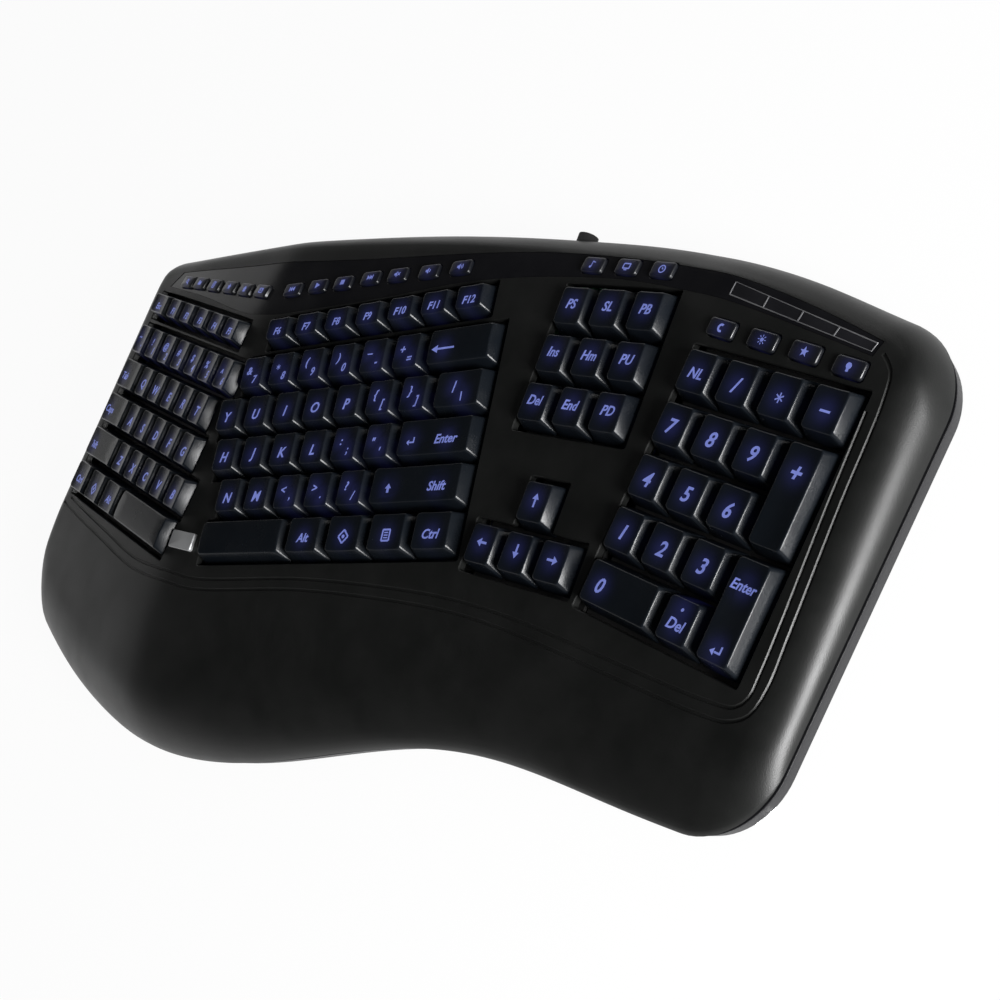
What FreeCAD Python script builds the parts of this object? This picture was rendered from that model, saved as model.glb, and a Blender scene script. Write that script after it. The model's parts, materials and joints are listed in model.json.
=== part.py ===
import FreeCAD, Part
import math
import os

# Ergonomic keyboard with a split layout on a case that rises to a ridge between the hands
# Millimetres, X to the right, Y to the back, Z up from the table
# During the build x = 0 is the split line, and ORIGIN is taken off at the end

V = FreeCAD.Vector
UP = V(0, 0, 1)
ORIGIN = V(91.672, -21.052, 0)

# Higher than anything in the case, for cuts that run out through its top
TALL = 60.0

# Keys: spacing, travel and caps
PITCH = 19.05
KEY_TRAVEL = 3.0
KEY_PROUD = 4.0
CAP_HEIGHT = 8.0
CAP_GAP = 1.05
CAP_WALL = 1.2
CAP_ROOF = 1.6
TOP_INSET_SIDE = 3.0
TOP_INSET_FRONT = 2.8
TOP_INSET_BACK = 2.0
STEM_SIDE = 4.6
STEM_GAP = 0.1
WIDE_KEY = 2.0
WIDE_STEM_FROM_END = 0.55

# Layers below each bank: thicknesses, and heights above the key tops that follow from them
CAP_CLEARANCE = 0.4
GUIDE_THICKNESS = 1.4
CHIMNEY_HEIGHT = 4.4
CHIMNEY_WALL = 1.2
RIM_WALL = 1.4
STEM_SHORT = 0.2
DOME_GAP = 0.05
DOME_PRESSED = 0.25
DOME_FOOT_RADIUS = 3.4
DOME_TIP_RADIUS = 1.7
DOME_WALL = 0.5
DOME_SHEET = 0.5
MEMBRANE = 0.3
LIGHT_GUIDE = 1.0
GUIDE_TOP = -CAP_HEIGHT - KEY_TRAVEL - CAP_CLEARANCE
GUIDE_BOTTOM = GUIDE_TOP - GUIDE_THICKNESS
CHIMNEY_TOP = GUIDE_TOP + CHIMNEY_HEIGHT
STEM_END = GUIDE_BOTTOM + STEM_SHORT
DOME_TOP = STEM_END - DOME_GAP
RIM_BOTTOM = DOME_TOP - KEY_TRAVEL - DOME_PRESSED
DOME_SHEET_BOTTOM = RIM_BOTTOM - DOME_SHEET
MEMBRANE_BOTTOM = DOME_SHEET_BOTTOM - MEMBRANE
LIGHT_GUIDE_BOTTOM = MEMBRANE_BOTTOM - LIGHT_GUIDE
WINDOW_MARGIN = 0.9
WINDOW_UNDER = 1.5
PLATE_MARGIN = 1.8
BANK_GAP = 0.4
BANK_CUT = 2.0
TAB_OUT = 3.6
TAB_HALF = 3.0
PEG_RADIUS = 2.0

# Function row: centre and depth, counted in key rows
FUNCTION_ROW = 5.055
FUNCTION_DEPTH = 0.75

# Arrow rows
UP_ROW = 2.108
DOWN_ROW = 1.108

# Banks: key-top point, the u and v there, turn, and rise along X and Y
HOME_Y = -18.0
SPLIT_HALF = 8.82
HOME_Z = 43.6
HAND_TURN = 10.06
HAND_SLOPE = 0.094
TILT = 0.036
NAV_SLOPE = -0.0173
PAD_SLOPE = -0.0084
PAD_TILT = 0.0556

# Case outline at the seam, as (s, y) with s = x - LEAN * y, because both sides lean
LEAN = 0.145
LEFT_EDGE = -154.0
RIGHT_EDGE = 342.5
SEAM_Z = 9.5
FRONT_LINE = [(-154, -98), (-132, -107), (-81, -125), (-19, -139.5), (21, -143.5), (51, -142),
              (90, -135), (128, -123.5), (162, -112.5), (195, -104.5), (229, -101), (263, -101.5),
              (293, -103), (342.5, -104)]
BACK_LINE = [(-154, 92), (-114, 93.5), (30, 99), (86, 99.5), (132, 98), (184, 94.5), (233, 88),
             (281, 76.5), (313, 66), (342.5, 57)]
FRONT_LEFT_RADIUS = 30.0
FRONT_RIGHT_RADIUS = 26.0
BACK_LEFT_RADIUS = 20.0
BACK_RIGHT_RADIUS = 24.0

# Case surface
RIDGE_SOFTNESS = 12.0
NAV_CREASE_X = 181.2
PAD_CREASE_X = 248.0
CREASE_SOFTNESS = 12.0
PAD_TILT_START = 235.0
PAD_TILT_RUN = 25.0
PALM_DROP = 0.35
STRIP_FALL = 0.15
STRIP_SOFTNESS = 3.0
WALL = 2.8
SIDE_ROLL = 12.0
BACK_ROLL = 11.0
FRONT_ROLL = 24.0
ROLL_STEP = 4.0

# Lines on the case, as (x, y)
PALM_LINE = [(-149, -48), (-142.2, -50), (-84.1, -62.9), (-34.8, -73.1), (4.7, -75.2), (22.6, -75.3),
             (92.7, -63.6), (150.4, -58), (177.4, -57), (205.1, -58.2), (237.2, -61.6), (265.6, -65),
             (301.5, -68.9), (340, -72.5)]
GROOVE_TURN = [(301.5, -68.9), (312, -68.9), (319.5, -65.5), (323.2, -57), (325.4, -40), (329.8, 0),
               (334.2, 34), (333.6, 43), (329, 48.5)]
INNER_TURN = [(313.5, -64.2), (317.6, -60.5), (319.2, -53), (321, -40), (325.4, 0), (329.3, 30)]
GROOVE_WIDTH = 0.8
GROOVE_DEPTH = 0.5
GROOVE_STEP = 4.6
STRIP_FRONT = [(-118, 71.5), (-103, 69), (-73.7, 64.1), (-48.8, 58.9), (-31.4, 55.1), (-15.7, 52.5),
               (0.6, 51.4), (14.6, 52.1), (31.2, 54.8), (52.4, 58.1), (87.9, 64.3), (119.3, 70.4),
               (150.8, 73.9), (176.6, 75), (207.2, 74), (229, 71.4), (257.7, 66.2), (294.8, 56.4),
               (325.6, 47.4)]
STRIP_BACK = [(-110, 79.5), (-75, 79.3), (-41, 79), (0, 79.5), (51, 81), (92.5, 83.2), (140, 85.3),
              (169, 85.6), (212, 82.5), (258, 75.5), (290, 66.5), (313, 58.4), (327.8, 52.6)]
STRIP_RECESS = 1.2
STRIP_SINK = 0.2
STRIP_GAP = 0.15
LENS_CORNERS = [(260.5, 67.6), (324.6, 48.9), (325.8, 52.3), (261, 73)]
LENS_GAP = 0.1
LENS_SINK = 0.3
BADGE_CENTRE = (4.4, -56.2)
BADGE_SIZE = (19.0, 8.0)
BADGE_PROUD = 1.0
BADGE_SUNK = 0.9
BADGE_GAP = 0.1

# Small keys in the strip and above the number pad, as (x, y)
HOT_KEYS = {
    "left_hot_keys": [(-96.3, 72.6), (-80.8, 71.1), (-63.4, 69.1), (-45.3, 67.2), (-27.8, 65.2),
                      (-10.5, 63.7)],
    "middle_hot_keys": [(15.0, 64.3), (32.0, 66.6), (48.4, 68.6), (65.3, 71.4), (82.0, 73.3),
                        (100.8, 75.2), (118.7, 77.5)],
    "right_hot_keys": [(189.7, 79.8), (207.6, 78.9), (225.4, 77.6)],
    "pad_hot_keys": [(263.2, 55.1), (282.2, 51.3), (300.6, 47.7), (319.0, 43.3)],
}
STRIP_GROUPS = ("left_hot_keys", "middle_hot_keys", "right_hot_keys")
HOT_WIDTH = {"left_hot_keys": 12.5, "middle_hot_keys": 11.0, "right_hot_keys": 10.8,
             "pad_hot_keys": 12.2}
HOT_YAW = {"left_hot_keys": -6.0, "middle_hot_keys": 7.0, "right_hot_keys": -4.0,
           "pad_hot_keys": -12.0}
HOT_DEPTH = 6.3
HOT_TRAVEL = 1.0
HOT_PROUD = 1.2
HOT_SIDE_GAP = 0.4
HOT_FLANGE_TOP = -3.6
HOT_FLANGE = 1.0
HOT_FLANGE_OUT = 0.9
HOT_PAD_RADIUS = 2.6
HOT_PAD_TIP = 1.8
HOT_PAD_PRESSED = 1.8
HOT_BOARD = 1.2
HOT_BOARD_DEPTH = 5.6
HOT_BOARD_MARGIN = 0.5
HOT_FLANGE_BOTTOM = HOT_FLANGE_TOP - HOT_FLANGE
HOT_BOARD_TOP = HOT_FLANGE_BOTTOM - HOT_TRAVEL - HOT_PAD_PRESSED
HOT_BOARD_BOTTOM = HOT_BOARD_TOP - HOT_BOARD

# Posts of the bottom shell under the boards of the small keys, as (x, y)
HOT_POSTS = {
    "left_hot_keys": [(-72.0, 70.0), (-46.0, 67.3), (-18.0, 64.5)],
    "middle_hot_keys": [(24.0, 65.4), (66.0, 71.3), (110.0, 76.4)],
    "right_hot_keys": [(194.0, 79.6), (222.0, 77.8)],
    "pad_hot_keys": [(294.0, 49.0), (318.0, 43.5)],
}

# Bottom shell
FLOOR_BOTTOM = 1.2
FLOOR_TOP = 3.2
SKIRT_TOP = 7.0
SKIRT_TOP_INSET = 1.5
SKIRT_FOOT_INSET = 3.0
TONGUE_INSET = 3.9
TUB_INSET = 5.5
TONGUE_TOP = 10.0
POST_RADIUS = 3.0

# Screws, from below
SCREW_SPOTS = [(-112, -71), (-40, -90), (60, -88), (150, -72), (240, -75), (308, -79),
               (-133, 78), (-3, 85.5), (138, 89), (246, 66), (334, 10)]
SCREW_SEAT_Z = 8.0
SCREW_JOIN_Z = 12.0
SCREW_TIP_LENGTH = 3.4
SCREW_HEAD_RADIUS = 2.8
SCREW_HEAD_HEIGHT = 2.0
SCREW_RADIUS = 1.4
SCREW_HOLE_RADIUS = 1.7
SCREW_WELL_RADIUS = 3.1
SCREW_DRIVE_SIDE = 1.9
SCREW_DRIVE_WIDTH = 0.7
SCREW_DRIVE_DEPTH = 1.1
SCREW_POST_RADIUS = 4.6
BOSS_RADIUS = 3.6
BOSS_BURY = 1.0

# Feet and tilt legs
FOOT_RADIUS = 7.0
FOOT_RECESS = 0.6
FOOT_SPOTS = [(-136, -76), (-30, -118), (95, -112), (318, -87), (-132, 50), (60, 84), (196, 80),
              (322, 34)]
LEG_SPOTS = {"left_leg": (-100.0, 78.0), "right_leg": (270.0, 66.0)}
LEG_WIDTH = 26.4
LEG_LENGTH = 23.0
LEG_THICKNESS = 3.2
LEG_BARREL_RADIUS = 2.0
LEG_AXIS_Z = 3.4
LEG_PIN_RADIUS = 1.2
LEG_PIN_LENGTH = 1.8
LEG_FIT = 0.05
LEG_SIDE_GAP = 0.3
LEG_BACK_ROOM = 3.0
LEG_FRONT_ROOM = 1.0
LEG_TUB_WALL = 2.5
LEG_TUB_TOP = 7.6
LEG_POCKET_TOP = 5.8
LEG_DROP = 0.2
LEG_GRIP_HALF = 6.0
LEG_GRIP_LENGTH = 1.5
LEG_GRIP_DEPTH = 1.2

# Electronics
CONTROLLER_CENTRE = (165.0, 71.0)
CONTROLLER_SIZE = (44.0, 24.0)
CONTROLLER_Z = 6.0
BOARD_THICKNESS = 1.6
CONTROLLER_POST_INSET = 3.0
CHIP = (12.0, 12.0, 1.6)
CHIP_PLACE = (-14.0, -6.0)
CONNECTOR = (16.0, 5.0, 3.2)
CONNECTOR_PLACE = (2.0, 4.0)
LENS_BOARD_DEPTH = 6.0
LENS_BOARD_SIZE = (66.0, 5.0)
LENS_LIGHTS = 4
LENS_LIGHT = (3.0, 2.2, 1.0)
LENS_PEG = (2.0, 1.0)

# Cable gland
GLAND_X = 167.0
GLAND_Z = 15.3
GLAND_RADIUS = 4.0
GLAND_BORE = 2.6
GLAND_FRONT_Y = 86.5
GLAND_BACK_Y = 98.5
GLAND_FLANGE_RADIUS = 5.2
GLAND_FLANGE_THICKNESS = 2.0


def natural_spline(points):
    """Return y(x) of the natural cubic spline through the points."""
    xs = [float(p[0]) for p in points]
    ys = [float(p[1]) for p in points]
    last = len(points) - 1
    step = [xs[i + 1] - xs[i] for i in range(last)]
    grade = [(ys[i + 1] - ys[i]) / step[i] for i in range(last)]
    diagonal = [1.0] * (last + 1)
    right = [0.0] * (last + 1)
    for i in range(1, last):
        above = step[i - 1] if i > 1 else 0.0
        below = above / diagonal[i - 1]
        diagonal[i] = 2 * (step[i - 1] + step[i]) - below * above
        right[i] = 6 * (grade[i] - grade[i - 1]) - below * right[i - 1]
    bend = [0.0] * (last + 1)
    for i in range(last - 1, 0, -1):
        bend[i] = (right[i] - step[i] * bend[i + 1]) / diagonal[i]

    def value(x):
        i = 0
        while i < last - 1 and x > xs[i + 1]:
            i += 1
        t = x - xs[i]
        start = grade[i] - step[i] * (2 * bend[i] + bend[i + 1]) / 6
        if t < 0:
            return ys[0] + start * t
        if x > xs[last]:
            end = grade[i] + step[i] * (bend[i] + 2 * bend[i + 1]) / 6
            return ys[last] + end * (x - xs[last])
        return ys[i] + start * t + bend[i] * t * t / 2 + (bend[i + 1] - bend[i]) * t ** 3 / (6 * step[i])

    return value


front_line = natural_spline(FRONT_LINE)
back_line = natural_spline(BACK_LINE)
palm_line = natural_spline(PALM_LINE)
strip_front = natural_spline(STRIP_FRONT)
strip_back = natural_spline(STRIP_BACK)


def rounding(radius, distance):
    """How far a corner of this radius pulls the edge in at a distance from the side."""
    if distance >= radius:
        return 0.0
    return radius - math.sqrt(max(0.0, radius ** 2 - (radius - distance) ** 2))


def front_y(s, inset):
    left = rounding(FRONT_LEFT_RADIUS - inset, s - LEFT_EDGE - inset)
    right = rounding(FRONT_RIGHT_RADIUS - inset, RIGHT_EDGE - inset - s)
    return front_line(s) + inset + left + right


def back_y(s, inset):
    left = rounding(BACK_LEFT_RADIUS - inset, s - LEFT_EDGE - inset)
    right = rounding(BACK_RIGHT_RADIUS - inset, RIGHT_EDGE - inset - s)
    return back_line(s) - inset - left - right


def soft_ramp(t, softness):
    return 0.5 * (t + math.sqrt(t * t + softness * softness))


def deck_z(x, y):
    """Height of the flat part of the case around the keys."""
    t = min(1.0, max(0.0, (x - PAD_TILT_START) / PAD_TILT_RUN))
    tilt = TILT + (PAD_TILT - TILT) * t * t * (3 - 2 * t)
    home = HOME_Z + HAND_SLOPE * SPLIT_HALF - TILT * HOME_Y
    ridge = home - HAND_SLOPE * math.sqrt(x * x + RIDGE_SOFTNESS ** 2)
    nav = (HAND_SLOPE + NAV_SLOPE) * soft_ramp(x - NAV_CREASE_X, CREASE_SOFTNESS)
    pad = (PAD_SLOPE - NAV_SLOPE) * soft_ramp(x - PAD_CREASE_X, CREASE_SOFTNESS)
    return ridge + nav + pad + tilt * y - KEY_PROUD


def case_z(x, y, front):
    """Height of the case inside its rolled edges: deck, palm rest and falling strip."""
    height = deck_z(x, y)
    palm = palm_line(x)
    if y < palm:
        q = (palm - y) / (palm - front)
        height = SEAM_Z + (height - SEAM_Z) * (1 - PALM_DROP * q * q)
    return height - STRIP_FALL * soft_ramp(y - strip_front(x), STRIP_SOFTNESS)


def roll_height(distance, width):
    if distance >= width:
        return 1.0
    return math.sqrt(max(0.0, 1 - (1 - distance / width) ** 2))


def roll_steps(width):
    """Distances from an edge of the lines that follow its roll, one for every 15 degrees."""
    return [width * (1 - math.cos(math.radians(15 * i))) for i in range(7)]


def skin_face(inset):
    """Outer surface of the case, moved inwards by inset, standing on the seam plane."""
    side = SIDE_ROLL - inset
    left = LEFT_EDGE + inset
    right = RIGHT_EDGE - inset
    corner = [16.5, 21.0, 25.5, 30.0]
    stations = [left + d for d in roll_steps(side)] + [LEFT_EDGE + d for d in corner]
    stations += [-102, -80, -60, -42, -30, -20, -10, 0, 10, 20, 32, 48, 68, 90, 112, 134, 156, 174]
    stations += [190, 208, 228, 244, 262, 286, 300]
    stations += [RIGHT_EDGE - d for d in reversed(corner[:-1])]
    stations += [right - d for d in reversed(roll_steps(side))]
    grid = []
    for s in stations:
        front = front_y(s, inset)
        back = back_y(s, inset)
        inner_front = front + FRONT_ROLL - inset
        inner_back = back - BACK_ROLL + inset
        rows = [front + d for d in roll_steps(FRONT_ROLL - inset)]
        rows += [inner_front + (inner_back - inner_front) * (1 - (1 - i / 14) ** 1.35) for i in range(1, 14)]
        rows += [back - d for d in reversed(roll_steps(BACK_ROLL - inset))]
        side_roll = roll_height(s - left, side) * roll_height(right - s, side)
        line = []
        for y in rows:
            x = s + LEAN * y
            roll = roll_height(y - front, FRONT_ROLL - inset) * roll_height(back - y, BACK_ROLL - inset)
            rise = case_z(x, y, front_y(s, 0)) - inset - SEAM_Z
            line.append(V(x, y, SEAM_Z + rise * side_roll * roll))
        grid.append(line)
    length = [0.0]
    for a, b in zip(stations, stations[1:]):
        length.append(length[-1] + max(b - a, ROLL_STEP))
    depth = [0.0]
    middle = grid[len(grid) // 2]
    for a, b in zip(middle, middle[1:]):
        depth.append(depth[-1] + max(b.y - a.y, ROLL_STEP))
    return surface_through(grid, length, depth)


def surface_through(grid, u_values, v_values):
    """Smooth face through a grid of points, with the given spacing both ways."""
    lines = []
    for line in grid:
        curve = Part.BSplineCurve()
        curve.interpolate(Points=line, Parameters=v_values)
        lines.append(curve)
    poles = []
    for row in zip(*[curve.getPoles() for curve in lines]):
        across = Part.BSplineCurve()
        across.interpolate(Points=list(row), Parameters=u_values)
        poles.append(across.getPoles())
    surface = Part.BSplineSurface()
    surface.buildFromPolesMultsKnots([list(p) for p in zip(*poles)], across.getMultiplicities(),
                                     lines[0].getMultiplicities(), across.getKnots(), lines[0].getKnots(),
                                     False, False, 3, 3)
    return surface.toShape()


def facing(face, upward):
    """The face turned so that its normal points up, or down."""
    u0, u1, v0, v1 = face.ParameterRange
    if (face.normalAt((u0 + u1) / 2, (v0 + v1) / 2).z > 0) != upward:
        face.reverse()
    return face


def core(inset):
    """Solid under the case surface, from the seam plane up."""
    top = facing(skin_face(inset), True)
    base = facing(Part.Face(Part.Plane(V(0, 0, SEAM_Z), UP), [top.OuterWire]), False)
    return Part.Solid(Part.Shell([top, base]))


def hollow_case():
    return core(0).cut(core(WALL))


def outline(inset, z):
    """Closed outline of the case moved inwards by inset, at height z."""
    points = []
    left = LEFT_EDGE + inset
    right = RIGHT_EDGE - inset
    bends = [math.radians(a) for a in (0, 18, 36, 54, 72, 90)]

    def corner_steps(radius):
        return [(radius - inset) * (1 - math.cos(a)) for a in bends]

    fronts = [left + d for d in corner_steps(FRONT_LEFT_RADIUS)]
    fronts += [-95, -60, -25, 5, 35, 65, 95, 125, 155, 185, 215, 245, 280]
    fronts += [right - d for d in reversed(corner_steps(FRONT_RIGHT_RADIUS))]
    points += [(s + LEAN * front_y(s, inset), front_y(s, inset)) for s in fronts]
    points += [(right + LEAN * y, y) for y in (-50, -10, 20)]
    backs = [right - d for d in corner_steps(BACK_RIGHT_RADIUS)]
    backs += [285, 250, 215, 180, 145, 110, 70, 30, -10, -50, -90]
    backs += [left + d for d in reversed(corner_steps(BACK_LEFT_RADIUS))]
    points += [(s + LEAN * back_y(s, inset), back_y(s, inset)) for s in backs]
    points += [(left + LEAN * y, y) for y in (40, 10, -20, -50)]
    curve = Part.BSplineCurve()
    curve.interpolate([V(x, y, z) for x, y in points], True)
    return Part.Wire([curve.toShape()])


def outline_prism(inset, low, high):
    return Part.Face(outline(inset, low)).extrude(UP * (high - low))


def block(x0, x1, y0, y1, z0, z1):
    return Part.makeBox(x1 - x0, y1 - y0, z1 - z0, V(x0, y0, z0))


def rod(x, y, z0, z1, radius):
    return Part.makeCylinder(radius, z1 - z0, V(x, y, z0))


def joined(shapes):
    """One shape fused from several."""
    shapes = list(shapes)
    if len(shapes) == 1:
        return shapes[0]
    return shapes[0].fuse(shapes[1:])


class Plane:
    """A tilted, turned work plane. Shapes are drawn flat and then put on it."""

    def __init__(self, origin, yaw, rise_x, rise_y, u0=0.0, v0=0.0):
        self.u0 = u0
        self.v0 = v0
        normal = V(-rise_x, -rise_y, 1)
        normal.normalize()
        turn = math.radians(yaw)
        along = V(math.cos(turn), math.sin(turn), rise_x * math.cos(turn) + rise_y * math.sin(turn))
        along.normalize()
        rotation = FreeCAD.Rotation(along, normal.cross(along), normal, "XZY")
        self.placement = FreeCAD.Placement(V(*origin), rotation)

    def put(self, shape):
        moved = shape.copy()
        moved.Placement = self.placement.multiply(shape.Placement)
        return moved

    def point(self, x, y, z=0.0):
        return self.placement.multVec(V(x, y, z))

    def above(self, height):
        """A block that fills everything above a height over this plane."""
        return self.put(block(-600, 600, -600, 600, height, height + 200))

    def spot(self, u, v):
        return ((u - self.u0) * PITCH, (v - self.v0) * PITCH)


BANKS = {
    "left": Plane((-SPLIT_HALF, HOME_Y, HOME_Z), -HAND_TURN, HAND_SLOPE, TILT, 6.75, 2.0),
    "right": Plane((SPLIT_HALF, HOME_Y, HOME_Z), HAND_TURN, -HAND_SLOPE, TILT, 6.75, 2.0),
    "nav": Plane((206.62, 22.7, 28.42), -2.63, NAV_SLOPE, TILT, 1.5, 4.0),
    "pad": Plane((282.42, -4.5, 26.35), -10.09, PAD_SLOPE, PAD_TILT, 2.0, 3.0),
}

# Keys: bank, row, depth in rows, first u, widths
KEYS = {
    "escape_key": ("left", FUNCTION_ROW, FUNCTION_DEPTH, 0, [1.25]),
    "left_function_keys": ("left", FUNCTION_ROW, FUNCTION_DEPTH, 1.25, [1] * 5),
    "left_number_keys": ("left", 4, 1, 0, [1] * 7),
    "tab_key": ("left", 3, 1, 0, [1.5]),
    "left_upper_keys": ("left", 3, 1, 1.5, [1] * 5),
    "caps_lock_key": ("left", 2, 1, 0, [1.75]),
    "left_home_keys": ("left", 2, 1, 1.75, [1] * 5),
    "left_shift_key": ("left", 1, 1, 0, [2.25]),
    "left_lower_keys": ("left", 1, 1, 2.25, [1] * 5),
    "left_bottom_keys": ("left", 0, 1, 0, [1.25] * 3),
    "left_space_key": ("left", 0, 1, 3.75, [3.4]),
    "right_function_keys": ("right", FUNCTION_ROW, FUNCTION_DEPTH, 7.5, [1] * 7),
    "right_number_keys": ("right", 4, 1, 7, [1] * 6),
    "backspace_key": ("right", 4, 1, 13, [2]),
    "right_upper_keys": ("right", 3, 1, 6.5, [1] * 7),
    "backslash_key": ("right", 3, 1, 13.5, [1.5]),
    "right_home_keys": ("right", 2, 1, 6.75, [1] * 6),
    "enter_key": ("right", 2, 1, 12.75, [2.25]),
    "right_lower_keys": ("right", 1, 1, 7.25, [1] * 5),
    "right_shift_key": ("right", 1, 1, 12.25, [2.75]),
    "right_space_key": ("right", 0, 1, 7, [3]),
    "right_bottom_keys": ("right", 0, 1, 10, [1.25] * 4),
    "nav_top_keys": ("nav", 6, 1, 0, [1] * 3),
    "nav_middle_keys": ("nav", 5, 1, 0, [1] * 3),
    "nav_lower_keys": ("nav", 4, 1, 0, [1] * 3),
    "arrow_up_key": ("nav", UP_ROW, 1, 1, [1]),
    "arrow_left_key": ("nav", DOWN_ROW, 1, 0, [1]),
    "arrow_down_key": ("nav", DOWN_ROW, 1, 1, [1]),
    "arrow_right_key": ("nav", DOWN_ROW, 1, 2, [1]),
    "pad_top_keys": ("pad", 5, 1, 0, [1] * 4),
    "pad_upper_keys": ("pad", 4, 1, 0, [1] * 3),
    "pad_plus_key": ("pad", 3.5, 2, 3, [1]),
    "pad_middle_keys": ("pad", 3, 1, 0, [1] * 3),
    "pad_lower_keys": ("pad", 2, 1, 0, [1] * 3),
    "pad_enter_key": ("pad", 1.5, 2, 3, [1]),
    "pad_zero_key": ("pad", 1, 1, 0, [2]),
    "pad_decimal_key": ("pad", 1, 1, 2, [1]),
}

# Rows that join the layers of a bank where its keys leave a gap, as (row, depth): (first u, last u)
BRIDGES = {"nav": {(3.05, 1.3): (1, 2)}}

# Tabs where pegs of the top shell hold a guide plate down, as (u, v)
TABS = {
    "left": [(0, 0.0, -1, 0), (0, 2.0, -1, 0), (0, 4.0, -1, 0), (2.0, -0.5, 0, -1), (5.5, -0.5, 0, -1)],
    "right": [(15, 2.0, 1, 0), (15, 4.0, 1, 0), (12.0, -0.5, 0, -1), (8.5, -0.5, 0, -1)],
    "nav": [(0, 5.0, -1, 0), (3, 4.0, 1, 0), (0.5, 3.5, 0, -1), (2.5, 3.5, 0, -1),
            (1.5, DOWN_ROW - 0.5, 0, -1)],
    "pad": [(0, 3.0, -1, 0), (4, 3.0, 1, 0), (2.0, 0.5, 0, -1)],
}

# Posts of the bottom shell under each bank, as (u, v)
POSTS = {
    "left": [(0.6, 0.3), (0.6, 2.6), (3.5, 0.2), (3.5, 4.2), (6.3, 0.2), (6.2, 4.2)],
    "right": [(8.2, 0.2), (8.0, 4.2), (11.0, 0.2), (11.0, 4.2), (14.3, 0.2), (14.3, 4.0)],
    "nav": [(0.5, 1.1), (2.5, 1.1), (0.5, 5.5), (2.5, 5.5)],
    "pad": [(0.5, 1.0), (3.5, 1.0), (0.5, 4.6), (3.5, 4.6)],
}


def cells(name):
    """Cells of a key node as (x0, x1, y0, y1) on its bank."""
    bank, row, depth, u, widths = KEYS[name]
    plane = BANKS[bank]
    found = []
    for width in widths:
        x0, y0 = plane.spot(u, row - depth / 2)
        x1, y1 = plane.spot(u + width, row + depth / 2)
        found.append((x0, x1, y0, y1))
        u += width
    return found


def stem_spots(cell):
    x0, x1, y0, y1 = cell
    middle_x = (x0 + x1) / 2
    middle_y = (y0 + y1) / 2
    spots = [(middle_x, middle_y)]
    reach = WIDE_STEM_FROM_END * PITCH
    if x1 - x0 > (WIDE_KEY - 0.01) * PITCH:
        spots += [(x0 + reach, middle_y), (x1 - reach, middle_y)]
    if y1 - y0 > (WIDE_KEY - 0.01) * PITCH:
        spots += [(middle_x, y0 + reach), (middle_x, y1 - reach)]
    return spots


def rectangle(cell, side, front, back, z):
    x0, x1, y0, y1 = cell
    corners = [V(x0 + side, y0 + front, z), V(x1 - side, y0 + front, z), V(x1 - side, y1 - back, z),
               V(x0 + side, y1 - back, z)]
    return Part.makePolygon(corners + corners[:1])


def key_cap(cell):
    """A hollow, tapered cap with its guide stems."""
    foot = CAP_GAP / 2
    outer = Part.makeLoft([rectangle(cell, foot, foot, foot, -CAP_HEIGHT),
                           rectangle(cell, TOP_INSET_SIDE, TOP_INSET_FRONT, TOP_INSET_BACK, 0)], True, True)
    share = CAP_ROOF / CAP_HEIGHT
    inner_foot = foot + CAP_WALL

    def roof(inset):
        return inset + CAP_WALL - (inset - foot) * share

    inner = Part.makeLoft([rectangle(cell, inner_foot, inner_foot, inner_foot, -CAP_HEIGHT),
                           rectangle(cell, roof(TOP_INSET_SIDE), roof(TOP_INSET_FRONT),
                                     roof(TOP_INSET_BACK), -CAP_ROOF)], True, True)
    half = STEM_SIDE / 2
    stems = [block(x - half, x + half, y - half, y + half, STEM_END, -CAP_ROOF / 2)
             for x, y in stem_spots(cell)]
    return outer.cut(inner).fuse(stems).removeSplitter()


def row_blocks(bank, margin, low, high, bridged=True):
    """Blocks over every row of a bank, each wider than its cells by a margin."""
    rows = {}
    for name, (owner, row, depth, u, widths) in KEYS.items():
        if owner == bank:
            first, last = rows.get((row, depth), (u, u + sum(widths)))
            rows[(row, depth)] = (min(first, u), max(last, u + sum(widths)))
    blocks = []
    if bridged and bank in BRIDGES:
        rows.update(BRIDGES[bank])
    for (row, depth), (first, last) in rows.items():
        x0, y0 = BANKS[bank].spot(first, row - depth / 2)
        x1, y1 = BANKS[bank].spot(last, row + depth / 2)
        blocks.append(block(x0 - margin, x1 + margin, y0 - margin, y1 + margin, low, high))
    return joined(blocks).removeSplitter()


def bank_stems(bank, centres_only):
    spots = []
    for name, (owner, row, depth, u, widths) in KEYS.items():
        if owner == bank:
            for cell in cells(name):
                found = stem_spots(cell)
                spots += found[:1] if centres_only else found
    return spots


def tab_spots(bank):
    for u, v, out_x, out_y in TABS[bank]:
        x, y = BANKS[bank].spot(u, v)
        yield x + TAB_OUT * out_x, y + TAB_OUT * out_y


def put_apart(bank, shape):
    """A layer put on its bank, with the left and right banks kept clear of each other."""
    placed = BANKS[bank].put(shape)
    low = LIGHT_GUIDE_BOTTOM - BANK_CUT
    if bank == "left":
        room = row_blocks("right", BANK_GAP, low, CHIMNEY_TOP)
        return placed.cut(BANKS["right"].put(room))
    if bank == "right":
        room = row_blocks("left", PLATE_MARGIN + BANK_GAP, low, CHIMNEY_TOP)
        return placed.cut(BANKS["left"].put(room))
    return placed


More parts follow.
